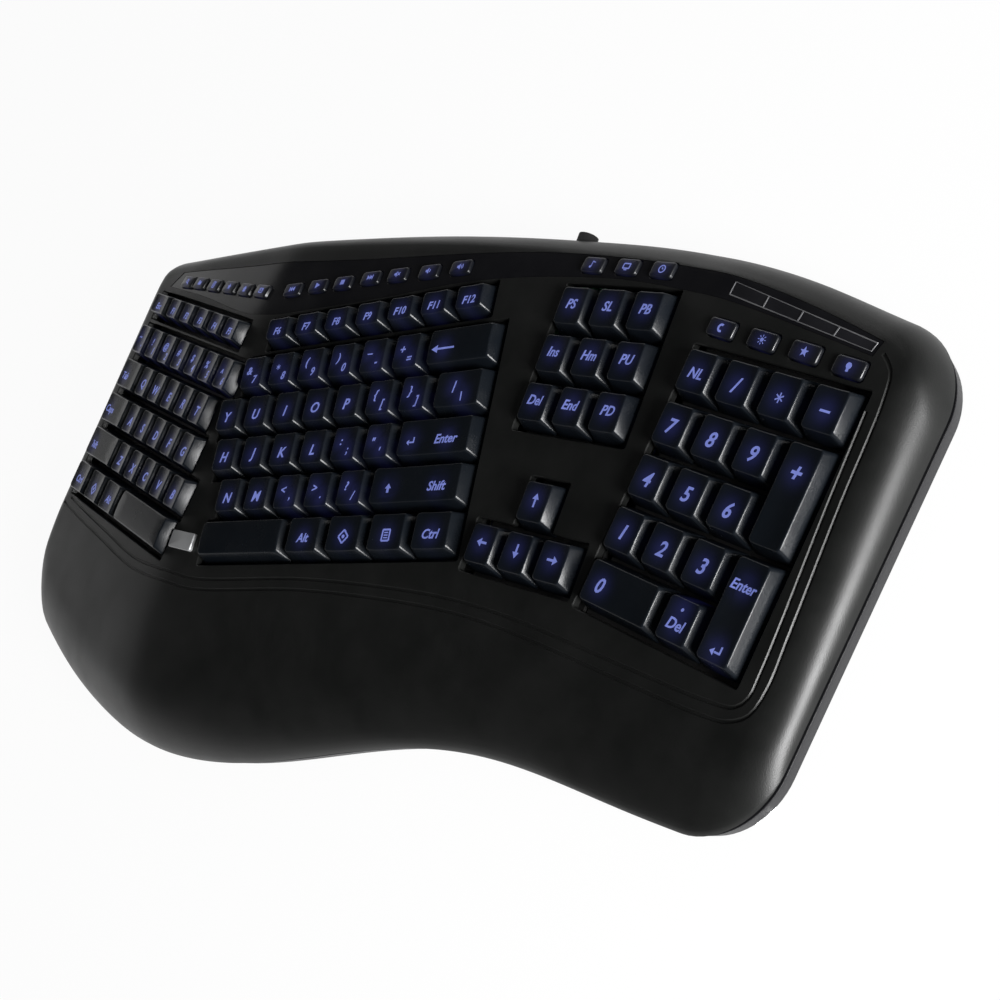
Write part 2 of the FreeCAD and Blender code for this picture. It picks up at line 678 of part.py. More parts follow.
def guide_plate(bank):
    hole = STEM_SIDE / 2 + STEM_GAP
    outside = hole + CHIMNEY_WALL
    plate = row_blocks(bank, PLATE_MARGIN, GUIDE_BOTTOM, GUIDE_TOP)
    rim = row_blocks(bank, PLATE_MARGIN, RIM_BOTTOM, GUIDE_BOTTOM)
    rim = rim.cut(row_blocks(bank, PLATE_MARGIN - RIM_WALL, RIM_BOTTOM, GUIDE_BOTTOM))
    spots = bank_stems(bank, False)
    chimneys = [block(x - outside, x + outside, y - outside, y + outside, GUIDE_BOTTOM, CHIMNEY_TOP)
                for x, y in spots]
    tabs = [block(x - TAB_HALF, x + TAB_HALF, y - TAB_HALF, y + TAB_HALF, GUIDE_BOTTOM, GUIDE_TOP)
            for x, y in tab_spots(bank)]
    holes = [block(x - hole, x + hole, y - hole, y + hole, GUIDE_BOTTOM, CHIMNEY_TOP) for x, y in spots]
    body = plate.fuse([rim] + chimneys + tabs)
    return put_apart(bank, body.cut(Part.makeCompound(holes)).removeSplitter())


def dome_sheet(bank):
    sheet = row_blocks(bank, PLATE_MARGIN, DOME_SHEET_BOTTOM, RIM_BOTTOM)
    inner_foot = DOME_FOOT_RADIUS - DOME_WALL
    inner_tip = DOME_TIP_RADIUS - DOME_WALL
    height = DOME_TOP - RIM_BOTTOM
    spots = bank_stems(bank, True)
    domes = []
    holes = []
    for x, y in spots:
        outer = Part.makeCone(DOME_FOOT_RADIUS, DOME_TIP_RADIUS, height, V(x, y, RIM_BOTTOM))
        inner = Part.makeCone(inner_foot, inner_tip, height - DOME_WALL, V(x, y, RIM_BOTTOM))
        domes.append(outer.cut(inner))
        holes.append(rod(x, y, DOME_SHEET_BOTTOM, RIM_BOTTOM, inner_foot))
    return put_apart(bank, sheet.cut(Part.makeCompound(holes)).fuse(domes))


def layer(bank, low, high):
    return put_apart(bank, row_blocks(bank, PLATE_MARGIN, low, high))


def hot_plane(name):
    """Work plane on the case surface under a group of small keys."""
    spots = HOT_KEYS[name]
    x = sum(p[0] for p in spots) / len(spots)
    y = sum(p[1] for p in spots) / len(spots)
    step = 4.0
    front = front_y(x, 0)
    rise_x = (case_z(x + step, y, front) - case_z(x - step, y, front)) / (2 * step)
    rise_y = (case_z(x, y + step, front) - case_z(x, y - step, front)) / (2 * step)
    return Plane((x, y, case_z(x, y, front)), HOT_YAW[name], rise_x, rise_y)


def hot_spots(name, plane):
    """Key centres of a group on its plane, with their height over it."""
    inverse = plane.placement.inverse()
    found = []
    for x, y in HOT_KEYS[name]:
        local = inverse.multVec(V(x, y, case_z(x, y, front_y(x, 0))))
        found.append((local.x, local.y, local.z))
    return found


def hot_block(spot, name, grow, low, high):
    x, y, lift = spot
    half_x = HOT_WIDTH[name] / 2 + grow
    half_y = HOT_DEPTH / 2 + grow
    return block(x - half_x, x + half_x, y - half_y, y + half_y, low, high)


def hot_windows(names):
    """Blocks that cut the openings around the small keys of some groups."""
    blocks = []
    for name in names:
        plane = hot_plane(name)
        blocks += [plane.put(hot_block(spot, name, HOT_SIDE_GAP, HOT_FLANGE_TOP, TALL))
                   for spot in hot_spots(name, plane)]
    return blocks


def hot_cap(spot, name):
    cap = hot_block(spot, name, 0, HOT_FLANGE_TOP, spot[2] + HOT_PROUD)
    return cap.fuse(hot_block(spot, name, HOT_FLANGE_OUT, HOT_FLANGE_BOTTOM, HOT_FLANGE_TOP))


def hot_board(name, plane):
    spots = hot_spots(name, plane)
    half = HOT_WIDTH[name] / 2 + HOT_BOARD_MARGIN
    x0 = min(p[0] for p in spots) - half
    x1 = max(p[0] for p in spots) + half
    y0 = min(p[1] for p in spots) - HOT_BOARD_DEPTH / 2
    y1 = max(p[1] for p in spots) + HOT_BOARD_DEPTH / 2
    return plane.put(block(x0, x1, y0, y1, HOT_BOARD_BOTTOM, HOT_BOARD_TOP))


def band(points, width):
    """Upright wall of a given width along a smooth line."""
    path = Part.BSplineCurve()
    path.interpolate([V(x, y, 0) for x, y in points])
    count = 4 * len(points)
    sides = []
    for way in (1, -1):
        side = []
        for i in range(count + 1):
            t = path.FirstParameter + (path.LastParameter - path.FirstParameter) * i / count
            along = V(*path.tangent(t)[0])
            across = UP.cross(along) * (way * width / 2)
            side.append(path.value(t) + across)
        sides.append(side)
    edges = []
    for side in sides:
        curve = Part.BSplineCurve()
        curve.interpolate(side)
        edges.append(curve.toShape())
    edges.insert(1, Part.makeLine(sides[0][-1], sides[1][-1]))
    edges.append(Part.makeLine(sides[1][0], sides[0][0]))
    return Part.Face(Part.Wire(Part.__sortEdges__(edges))).extrude(UP * TALL)


def strip_prism(gap):
    """Upright prism over the media strip."""
    front = Part.BSplineCurve()
    front.interpolate([V(x, y + gap, 0) for x, y in STRIP_FRONT[1:]])
    back = Part.BSplineCurve()
    back.interpolate([V(x, y - gap, 0) for x, y in STRIP_BACK])
    left = V(STRIP_FRONT[0][0] + 3 * gap, STRIP_FRONT[0][1] + gap, 0)
    edges = [front.toShape(), Part.makeLine(front.EndPoint, back.EndPoint), back.toShape(),
             Part.makeLine(back.StartPoint, left), Part.makeLine(left, front.StartPoint)]
    return Part.Face(Part.Wire(Part.__sortEdges__(edges))).extrude(UP * TALL)


def lens_prism(gap):
    (x0, y0), (x1, y1), (x2, y2), (x3, y3) = LENS_CORNERS
    corners = [V(x0 + gap, y0 + gap, 0), V(x1 - gap, y1 + gap, 0), V(x2 - gap, y2 - gap, 0),
               V(x3 + gap, y3 - gap, 0)]
    return Part.Face(Part.makePolygon(corners + corners[:1])).extrude(UP * TALL)


def inner_line(step):
    """The second groove, a step inside the first."""
    return [(x, y + step) for x, y in PALM_LINE[1:-1]] + INNER_TURN


def make_leg(spot):
    """A tilt leg folded flat, with its hinge barrel and pins along X."""
    x, y = spot
    half = LEG_WIDTH / 2
    low = LEG_AXIS_Z - LEG_THICKNESS / 2 - LEG_DROP
    plate = block(x - half, x + half, y - LEG_LENGTH, y, low, low + LEG_THICKNESS)
    barrel = Part.makeCylinder(LEG_BARREL_RADIUS, LEG_WIDTH, V(x - half, y, LEG_AXIS_Z), V(1, 0, 0))
    pins = Part.makeCylinder(LEG_PIN_RADIUS, LEG_WIDTH + 2 * LEG_PIN_LENGTH,
                             V(x - half - LEG_PIN_LENGTH, y, LEG_AXIS_Z), V(1, 0, 0))
    tip = y - LEG_LENGTH
    grip = block(x - LEG_GRIP_HALF, x + LEG_GRIP_HALF, tip - 1, tip + LEG_GRIP_LENGTH, low,
                 low + LEG_GRIP_DEPTH)
    return plate.fuse([barrel, pins]).cut(grip)


def leg_tub(spot):
    """Raised tub of the bottom shell over a leg, and the pocket to cut from it."""
    x, y = spot
    half = LEG_WIDTH / 2 + LEG_SIDE_GAP
    front = y - LEG_LENGTH - LEG_FRONT_ROOM
    back = y + LEG_BACK_ROOM
    wall = LEG_TUB_WALL
    tub = block(x - half - wall, x + half + wall, front - wall, back + wall, FLOOR_BOTTOM, LEG_TUB_TOP)
    pocket = block(x - half, x + half, front, back, FLOOR_BOTTOM - 1, LEG_POCKET_TOP)
    reach = half + LEG_PIN_LENGTH
    holes = Part.makeCylinder(LEG_PIN_RADIUS + LEG_FIT, 2 * reach, V(x - reach, y, LEG_AXIS_Z), V(1, 0, 0))
    return tub, pocket.fuse(holes)


def make_screw(spot):
    x, y = spot
    head = rod(x, y, SCREW_SEAT_Z - SCREW_HEAD_HEIGHT, SCREW_SEAT_Z, SCREW_HEAD_RADIUS)
    shank = rod(x, y, SCREW_SEAT_Z, SCREW_JOIN_Z + SCREW_TIP_LENGTH, SCREW_RADIUS)
    bottom = SCREW_SEAT_Z - SCREW_HEAD_HEIGHT
    arm = SCREW_DRIVE_SIDE
    half = SCREW_DRIVE_WIDTH / 2
    slot = block(x - arm, x + arm, y - half, y + half, bottom, bottom + SCREW_DRIVE_DEPTH)
    cross = block(x - half, x + half, y - arm, y + arm, bottom, bottom + SCREW_DRIVE_DEPTH)
    return head.fuse(shank).cut(slot.fuse(cross))


def badge(grow, low, high):
    """The plain plate on the ridge in front of the keys."""
    x, y = BADGE_CENTRE
    plane = Plane((x, y, case_z(x, y, front_y(x, 0))), 0, 0, TILT)
    half_x = BADGE_SIZE[0] / 2 + grow
    half_y = BADGE_SIZE[1] / 2 + grow
    return plane.put(block(-half_x, half_x, -half_y, half_y, low, high))


def lens_plane():
    (x0, y0), (x1, y1), (x2, y2), (x3, y3) = LENS_CORNERS
    x = (x0 + x1 + x2 + x3) / 4
    y = (y0 + y1 + y2 + y3) / 4
    yaw = math.degrees(math.atan2(y1 - y0, x1 - x0))
    return Plane((x, y, case_z(x, y, front_y(x, 0))), yaw, PAD_SLOPE, PAD_TILT - STRIP_FALL)


def indicator_board():
    half_x = LENS_BOARD_SIZE[0] / 2
    half_y = LENS_BOARD_SIZE[1] / 2
    board = block(-half_x, half_x, -half_y, half_y, -LENS_BOARD_DEPTH - BOARD_THICKNESS, -LENS_BOARD_DEPTH)
    width, depth, height = LENS_LIGHT
    lights = []
    for i in range(LENS_LIGHTS):
        x = -half_x + (i + 0.5) * 2 * half_x / LENS_LIGHTS
        lights.append(block(x - width / 2, x + width / 2, -depth / 2, depth / 2, -LENS_BOARD_DEPTH,
                            -LENS_BOARD_DEPTH + height))
    return lens_plane().put(board.fuse(lights))


def lens_pegs():
    """Pegs of the top shell that hold the indicator board at its corners."""
    half_x = LENS_PEG[0] / 2
    half_y = LENS_PEG[1] / 2
    reach = LENS_BOARD_SIZE[0] / 2 - half_x
    out = LENS_BOARD_SIZE[1] / 2 - half_y
    return [lens_plane().put(block(x - half_x, x + half_x, y - half_y, y + half_y, -LENS_BOARD_DEPTH, 0))
            for x in (-reach, reach) for y in (-out, out)]


def controller_board():
    x, y = CONTROLLER_CENTRE
    half_x = CONTROLLER_SIZE[0] / 2
    half_y = CONTROLLER_SIZE[1] / 2
    top = CONTROLLER_Z + BOARD_THICKNESS
    board = block(x - half_x, x + half_x, y - half_y, y + half_y, CONTROLLER_Z, top)
    parts = []
    for (left, front), (width, depth, height) in ((CHIP_PLACE, CHIP), (CONNECTOR_PLACE, CONNECTOR)):
        parts.append(block(x + left, x + left + width, y + front, y + front + depth, top, top + height))
    return board.fuse(parts)


def controller_posts():
    x, y = CONTROLLER_CENTRE
    half_x = CONTROLLER_SIZE[0] / 2 - CONTROLLER_POST_INSET
    half_y = CONTROLLER_SIZE[1] / 2 - CONTROLLER_POST_INSET
    return [rod(x + i * half_x, y + j * half_y, FLOOR_TOP - 1, CONTROLLER_Z, POST_RADIUS)
            for i in (-1, 1) for j in (-1, 1)]


def cable_gland(bore, radius):
    length = GLAND_BACK_Y - GLAND_FRONT_Y
    back = V(0, 1, 0)
    body = Part.makeCylinder(radius, length, V(GLAND_X, GLAND_FRONT_Y, GLAND_Z), back)
    if not bore:
        return body
    flange = Part.makeCylinder(GLAND_FLANGE_RADIUS, GLAND_FLANGE_THICKNESS,
                               V(GLAND_X, GLAND_FRONT_Y, GLAND_Z), back)
    hole = Part.makeCylinder(GLAND_BORE, length, V(GLAND_X, GLAND_FRONT_Y, GLAND_Z), back)
    return body.fuse(flange).cut(hole)


def top_shell():
    shell = hollow_case()
    under_surface = core(BOSS_BURY)
    bosses = [rod(x, y, SCREW_JOIN_Z, TALL, BOSS_RADIUS) for x, y in SCREW_SPOTS]
    for bank, plane in BANKS.items():
        bosses += [plane.put(rod(x, y, GUIDE_TOP, KEY_PROUD, PEG_RADIUS)) for x, y in tab_spots(bank)]
    bosses += lens_pegs()
    shell = shell.fuse([b.common(under_surface) for b in bosses])
    cuts = [plane.put(row_blocks(bank, WINDOW_MARGIN, CHIMNEY_TOP - WINDOW_UNDER, TALL, False))
            for bank, plane in BANKS.items()]
    cuts += hot_windows(HOT_KEYS)
    cuts += [rod(x, y, SCREW_JOIN_Z, SCREW_JOIN_Z + SCREW_TIP_LENGTH, SCREW_RADIUS) for x, y in SCREW_SPOTS]
    cuts.append(badge(BADGE_GAP, -BADGE_SUNK, TALL))
    cuts.append(cable_gland(False, GLAND_RADIUS))
    cuts.append(lens_prism(LENS_GAP))
    groove_core = core(GROOVE_DEPTH)
    outer_line = PALM_LINE[:-2] + GROOVE_TURN
    cuts.append(band(outer_line, GROOVE_WIDTH).cut(groove_core))
    cuts.append(band(inner_line(GROOVE_STEP), GROOVE_WIDTH).cut(groove_core))
    cuts.append(strip_prism(0).cut(core(STRIP_RECESS)))
    for cut in cuts:
        shell = shell.cut(cut)
    return max(shell.Solids, key=lambda solid: solid.Volume)


def media_strip():
    strip = strip_prism(STRIP_GAP).common(core(STRIP_SINK)).cut(core(STRIP_RECESS))
    for cut in [lens_prism(0)] + hot_windows(STRIP_GROUPS):
        strip = strip.cut(cut)
    return strip


def indicator_lens():
    return lens_prism(LENS_GAP).common(core(LENS_SINK)).cut(core(STRIP_RECESS))


def bottom_shell():
    skirt = Part.makeLoft([outline(SKIRT_FOOT_INSET, FLOOR_BOTTOM), outline(SKIRT_TOP_INSET, SKIRT_TOP)],
                          True, True)
    tongue = outline_prism(TONGUE_INSET, FLOOR_TOP, TONGUE_TOP)
    shell = skirt.fuse(tongue).cut(outline_prism(TUB_INSET, FLOOR_TOP, TONGUE_TOP + 1))
    adds = [rod(x, y, FLOOR_TOP - 1, SCREW_JOIN_Z, SCREW_POST_RADIUS) for x, y in SCREW_SPOTS]
    cuts = []
    for spot in LEG_SPOTS.values():
        tub, pocket = leg_tub(spot)
        adds.append(tub)
        cuts.append(pocket)
    for bank, plane in BANKS.items():
        top = plane.above(LIGHT_GUIDE_BOTTOM)
        for u, v in POSTS[bank]:
            x, y = plane.spot(u, v)
            foot = plane.point(x, y, LIGHT_GUIDE_BOTTOM)
            adds.append(rod(foot.x, foot.y, FLOOR_TOP - 1, TALL, POST_RADIUS).cut(top))
    for name in HOT_KEYS:
        plane = hot_plane(name)
        top = plane.above(HOT_BOARD_BOTTOM)
        for x, y in HOT_POSTS[name]:
            adds.append(rod(x, y, FLOOR_TOP - 1, TALL, POST_RADIUS).cut(top))
    adds += controller_posts()
    shell = shell.fuse(adds)
    for x, y in SCREW_SPOTS:
        cuts.append(rod(x, y, FLOOR_BOTTOM - 1, SCREW_SEAT_Z, SCREW_WELL_RADIUS))
        cuts.append(rod(x, y, SCREW_SEAT_Z, SCREW_JOIN_Z, SCREW_HOLE_RADIUS))
    cuts += [rod(x, y, 0, FLOOR_BOTTOM + FOOT_RECESS, FOOT_RADIUS) for x, y in FOOT_SPOTS]
    return shell.cut(Part.makeCompound(cuts))


def build():
    """Return every node by name."""
    nodes = {
        "top_shell": top_shell(),
        "bottom_shell": bottom_shell(),
        "media_strip": media_strip(),
        "indicator_lens": indicator_lens(),
        "badge_plate": badge(0, -BADGE_SUNK, BADGE_PROUD),
        "key_guide_plates": Part.makeCompound([guide_plate(bank) for bank in BANKS]),
        "dome_sheets": Part.makeCompound([dome_sheet(bank) for bank in BANKS]),
        "membrane_sheets": Part.makeCompound([layer(b, MEMBRANE_BOTTOM, DOME_SHEET_BOTTOM) for b in BANKS]),
        "light_guides": Part.makeCompound([layer(b, LIGHT_GUIDE_BOTTOM, MEMBRANE_BOTTOM) for b in BANKS]),
        "controller_board": controller_board(),
        "indicator_board": indicator_board(),
        "case_screws": Part.makeCompound([make_screw(spot) for spot in SCREW_SPOTS]),
        "rubber_feet": Part.makeCompound([rod(x, y, 0, FLOOR_BOTTOM + FOOT_RECESS, FOOT_RADIUS)
                                          for x, y in FOOT_SPOTS]),
        "cable_gland": cable_gland(True, GLAND_RADIUS),
    }
    for name, spot in LEG_SPOTS.items():
        nodes[name] = make_leg(spot)
    for name in KEYS:
        plane = BANKS[KEYS[name][0]]
        nodes[name] = Part.makeCompound([plane.put(key_cap(cell)) for cell in cells(name)])
    pads = []
    boards = []
    for name in HOT_KEYS:
        plane = hot_plane(name)
        spots = hot_spots(name, plane)
        nodes[name] = Part.makeCompound([plane.put(hot_cap(spot, name)) for spot in spots])
        boards.append(hot_board(name, plane))
        pads += [plane.put(Part.makeCone(HOT_PAD_RADIUS, HOT_PAD_TIP, HOT_FLANGE_BOTTOM - HOT_BOARD_TOP,
                                         V(x, y, HOT_BOARD_TOP))) for x, y, lift in spots]
    nodes["hot_key_boards"] = Part.makeCompound(boards)
    nodes["hot_key_pads"] = Part.makeCompound(pads)
    return nodes


os.makedirs("parts", exist_ok=True)
for node_name, node_shape in build().items():
    node_shape.translate(ORIGIN * -1)
    node_shape.exportStep("parts/" + node_name + ".step")
    box = node_shape.BoundBox
    print(node_name, len(node_shape.Solids), round(node_shape.Volume, 1), node_shape.isValid(),
          [round(v, 2) for v in (box.XMin, box.XMax, box.YMin, box.YMax, box.ZMin, box.ZMax)])
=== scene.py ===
"""Looks of an ergonomic keyboard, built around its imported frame.

Sizes are millimetres in the builder's own layout, where x = 0 is the split between the hands.
``place`` takes a point from that layout into the frame, in metres.
"""
import json
import logging
import math
from bisect import bisect_right
from dataclasses import dataclass, field
from enum import Enum
from typing import Callable, Iterable, Sequence

import bmesh
import bpy
from mathutils import Matrix, Vector


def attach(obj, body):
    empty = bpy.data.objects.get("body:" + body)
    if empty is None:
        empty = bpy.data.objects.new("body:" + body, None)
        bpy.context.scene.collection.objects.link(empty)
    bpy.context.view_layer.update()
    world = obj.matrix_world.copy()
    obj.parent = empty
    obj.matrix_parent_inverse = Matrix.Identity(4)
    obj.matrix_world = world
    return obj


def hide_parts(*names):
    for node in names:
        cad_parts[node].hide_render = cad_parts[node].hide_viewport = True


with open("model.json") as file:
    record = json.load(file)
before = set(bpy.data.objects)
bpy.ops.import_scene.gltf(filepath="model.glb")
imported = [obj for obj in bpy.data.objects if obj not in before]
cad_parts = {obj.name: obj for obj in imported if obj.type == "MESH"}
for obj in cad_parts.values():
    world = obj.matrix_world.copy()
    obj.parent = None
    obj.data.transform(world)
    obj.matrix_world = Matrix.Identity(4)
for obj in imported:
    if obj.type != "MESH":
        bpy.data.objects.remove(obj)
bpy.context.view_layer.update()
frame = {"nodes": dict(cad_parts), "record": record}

BODY_OF = {node: body for body, nodes in frame["record"]["behaviour"]["bodies"].items() for node in nodes}
MM = 0.001
ORIGIN = Vector((91.672, -21.052, 0.0))
SEAM_Z = 9.5
SHARP_ANGLE = math.radians(32)
PITCH = 19.05
FUNCTION_ROW = 5.055
FUNCTION_DEPTH = 0.75
UP_ROW = 2.108
DOWN_ROW = 1.108
HALO_UNIT = 10.0
NO_HALO = (9.0, 9.0)

log = logging.getLogger("keyboard")

Point2 = tuple[float, float]
Point3 = tuple[float, float, float]
Cell = tuple[float, float, float, float]
Colour = Point3
Socket = bpy.types.NodeSocket
Thing = bpy.types.Object


def place(point: Vector) -> Vector:
    """Take a layout point in millimetres into the frame, in metres."""
    return (point - ORIGIN) * MM


def raised(matrix: Matrix, flat: Iterable[Sequence[float]], z: float) -> list[Vector]:
    """Flat points of a plane at a height over it."""
    return [matrix @ Vector((x, y, z)) for x, y in flat]


def smooth(t: float) -> float:
    """Ease from 0 to 1 while t goes from 0 to 1."""
    t = min(1.0, max(0.0, t))
    return t * t * (3 - 2 * t)


def soft_ramp(t: float, softness: float) -> float:
    """Zero far below t = 0 and t far above it, with a soft bend between."""
    return 0.5 * (t + math.hypot(t, softness))


class Spline:
    """Natural cubic spline y(x) through a few points."""

    def __init__(self, points: Sequence[Point2]) -> None:
        """Solve the spline's bends once.

        Args:
            points: The points, in order of x.
        """
        self.xs = [float(p[0]) for p in points]
        self.ys = [float(p[1]) for p in points]
        last = len(points) - 1
        self.step = [b - a for a, b in zip(self.xs, self.xs[1:])]
        self.grade = [(self.ys[i + 1] - self.ys[i]) / self.step[i] for i in range(last)]
        diagonal = [1.0] * (last + 1)
        right = [0.0] * (last + 1)
        for i in range(1, last):
            above = self.step[i - 1] if i > 1 else 0.0
            below = above / diagonal[i - 1]
            diagonal[i] = 2 * (self.step[i - 1] + self.step[i]) - below * above
            right[i] = 6 * (self.grade[i] - self.grade[i - 1]) - below * right[i - 1]
        self.bend = [0.0] * (last + 1)
        for i in range(last - 1, 0, -1):
            self.bend[i] = (right[i] - self.step[i] * self.bend[i + 1]) / diagonal[i]

    def __call__(self, x: float) -> float:
        """Return y at x, along the end tangents outside the points."""
        last = len(self.xs) - 1
        i = min(max(bisect_right(self.xs, x) - 1, 0), last - 1)
        t = x - self.xs[i]
        bend, after, step = self.bend[i], self.bend[i + 1], self.step[i]
        if t < 0:
            return self.ys[0] + (self.grade[0] - step * (2 * bend + after) / 6) * t
        if x > self.xs[last]:
            return self.ys[last] + (self.grade[i] + step * (bend + 2 * after) / 6) * (x - self.xs[last])
        start = self.grade[i] - step * (2 * bend + after) / 6
        return self.ys[i] + start * t + bend * t * t / 2 + (after - bend) * t ** 3 / (6 * step)


@dataclass(frozen=True)
class CaseShape:
    """The rule of the case surface: outline, deck, palm rest, falling strip and rolled edges.

    Attributes:
        lean: Shift to the right for each millimetre to the back.
        left_edge: Left side, along the leaned lines.
        right_edge: Right side.
        front_points: Points of the front edge.
        back_points: Points of the back edge.
        front_radii: Radii of the front corners, left and right.
        back_radii: Radii of the back corners.
        home: Corner of the key tops beside the ridge.
        hand_slope: Fall of the key tops from the ridge to the sides.
        tilt: Rise of the key tops to the back.
        nav_slope: Rise to the right under the navigation keys.
        pad_slope: Rise to the right under the number pad.
        pad_tilt: Rise to the back under the number pad.
        key_proud: How far the key tops stand over the deck.
        softness: Reach of the bends between the slopes.
        creases: Where the slope changes on both sides of the navigation keys.
        tilt_change: Where the tilt starts to change to the pad's, and over which length.
        palm_drop: Share of the height lost at the front of the palm rest.
        strip_fall: Fall behind the strip's front line.
        strip_softness: Reach of the bend there.
        wall: Thickness of the shell.
        side_roll: Width of the rolled edge at the sides.
        back_roll: Its width at the back.
        front_roll: Its width at the front.
        palm_points: Line where the palm rest starts.
        strip_front_points: Front line of the strip.
        strip_back_points: Back line of the strip.
    """

    lean: float = 0.145
    left_edge: float = -154.0
    right_edge: float = 342.5
    front_points: tuple[Point2, ...] = (
        (-154, -98), (-132, -107), (-81, -125), (-19, -139.5), (21, -143.5), (51, -142), (90, -135),
        (128, -123.5), (162, -112.5), (195, -104.5), (229, -101), (263, -101.5), (293, -103), (342.5, -104))
    back_points: tuple[Point2, ...] = (
        (-154, 92), (-114, 93.5), (30, 99), (86, 99.5), (132, 98), (184, 94.5), (233, 88), (281, 76.5),
        (313, 66), (342.5, 57))
    front_radii: Point2 = (30.0, 26.0)
    back_radii: Point2 = (20.0, 24.0)
    home: Point3 = (8.82, -18.0, 43.6)
    hand_slope: float = 0.094
    tilt: float = 0.036
    nav_slope: float = -0.0173
    pad_slope: float = -0.0084
    pad_tilt: float = 0.0556
    key_proud: float = 4.0
    softness: float = 12.0
    creases: Point2 = (181.2, 248.0)
    tilt_change: Point2 = (235.0, 25.0)
    palm_drop: float = 0.35
    strip_fall: float = 0.15
    strip_softness: float = 3.0
    wall: float = 2.8
    side_roll: float = 12.0
    back_roll: float = 11.0
    front_roll: float = 24.0
    palm_points: tuple[Point2, ...] = (
        (-149, -48), (-142.2, -50), (-84.1, -62.9), (-34.8, -73.1), (4.7, -75.2), (22.6, -75.3),
        (92.7, -63.6), (150.4, -58), (177.4, -57), (205.1, -58.2), (237.2, -61.6), (265.6, -65),
        (301.5, -68.9), (340, -72.5))
    strip_front_points: tuple[Point2, ...] = (
        (-118, 71.5), (-103, 69), (-73.7, 64.1), (-48.8, 58.9), (-31.4, 55.1), (-15.7, 52.5), (0.6, 51.4),
        (14.6, 52.1), (31.2, 54.8), (52.4, 58.1), (87.9, 64.3), (119.3, 70.4), (150.8, 73.9), (176.6, 75),
        (207.2, 74), (229, 71.4), (257.7, 66.2), (294.8, 56.4), (325.6, 47.4))
    strip_back_points: tuple[Point2, ...] = (
        (-110, 79.5), (-75, 79.3), (-41, 79), (0, 79.5), (51, 81), (92.5, 83.2), (140, 85.3), (169, 85.6),
        (212, 82.5), (258, 75.5), (290, 66.5), (313, 58.4), (327.8, 52.6))

    def __post_init__(self) -> None:
        """Solve the five lines once."""
        for name in ("front", "back", "palm", "strip_front", "strip_back"):
            object.__setattr__(self, name, Spline(getattr(self, name + "_points")))

    @staticmethod
    def rounding(radius: float, distance: float) -> float:
        """How far a corner of this radius pulls the edge in at a distance from the side."""
        if distance >= radius:
            return 0.0
        return radius - math.sqrt(max(0.0, radius ** 2 - (radius - distance) ** 2))

    def corner_pull(self, s: float, inset: float, radii: Point2) -> float:
        """Sum of both corners' pull at leaned distance s along the case."""
        left = self.rounding(radii[0] - inset, s - self.left_edge - inset)
        return left + self.rounding(radii[1] - inset, self.right_edge - inset - s)

    def front_y(self, s: float, inset: float = 0.0) -> float:
        """Front edge at leaned distance s."""
        return self.front(s) + inset + self.corner_pull(s, inset, self.front_radii)

    def back_y(self, s: float, inset: float = 0.0) -> float:
        """Back edge at leaned distance s."""
        return self.back(s) - inset - self.corner_pull(s, inset, self.back_radii)

    def deck_z(self, x: float, y: float) -> float:
        """Height of the flat part of the case around the keys."""
        start, length = self.tilt_change
        tilt = self.tilt + (self.pad_tilt - self.tilt) * smooth((x - start) / length)
        top = self.home[2] + self.hand_slope * self.home[0] - self.tilt * self.home[1]
        ridge = top - self.hand_slope * math.hypot(x, self.softness)
        nav = (self.hand_slope + self.nav_slope) * soft_ramp(x - self.creases[0], self.softness)
        pad = (self.pad_slope - self.nav_slope) * soft_ramp(x - self.creases[1], self.softness)
        return ridge + nav + pad + tilt * y - self.key_proud

    def case_z(self, x: float, y: float, front: float) -> float:
        """Height of the case inside its rolled edges."""
        height = self.deck_z(x, y)
        palm = self.palm(x)
        if y < palm:
            q = (palm - y) / (palm - front)
            height = SEAM_Z + (height - SEAM_Z) * (1 - self.palm_drop * q * q)
        return height - self.strip_fall * soft_ramp(y - self.strip_front(x), self.strip_softness)

    @staticmethod
    def roll(distance: float, width: float) -> float:
        """Share of the full height at a distance from a rolled edge."""
        if distance >= width:
            return 1.0
        return math.sqrt(max(0.0, 1 - (1 - distance / width) ** 2))

    def height(self, x: float, y: float, inset: float = 0.0) -> float:
        """Height of the surface moved inwards by inset.

        Args:
            x: Layout x.
            y: Layout y.
            inset: Depth below the outer surface.

        Returns:
            The layout z, which is the seam's outside the outline.
        """
        s = x - self.lean * y
        side = self.side_roll - inset
        share = self.roll(s - self.left_edge - inset, side) * self.roll(self.right_edge - inset - s, side)
        share *= self.roll(y - self.front_y(s, inset), self.front_roll - inset)
        share *= self.roll(self.back_y(s, inset) - y, self.back_roll - inset)
        return SEAM_Z + (self.case_z(x, y, self.front_y(s)) - inset - SEAM_Z) * share

    def on(self, x: float, y: float, lift: float = 0.0) -> Vector:
        """Layout point on the surface, lifted straight up."""
        return Vector((x, y, self.height(x, y) + lift))

    def outline(self, inset: float) -> list[Point2]:
        """Closed outline moved inwards by inset, with close points in its corners.

        Args:
            inset: Distance inwards.

        Returns:
            Layout points, counter-clockwise from the front left.
        """
        parts, straight = 110, 8
        middle, half = (self.left_edge + self.right_edge) / 2, (self.right_edge - self.left_edge) / 2 - inset
        points = []
        for rule, other, way in ((self.front_y, self.back_y, -1), (self.back_y, self.front_y, 1)):
            across = [middle + way * half * math.cos(math.pi * i / parts) for i in range(parts + 1)]
            points += [(s, rule(s, inset)) for s in across]
            end, start = other(across[-1], inset), points[-1][1]
            points += [(across[-1], start + (end - start) * i / straight) for i in range(1, straight)]
        return [(s + self.lean * y, y) for s, y in points]


SHAPE = CaseShape()


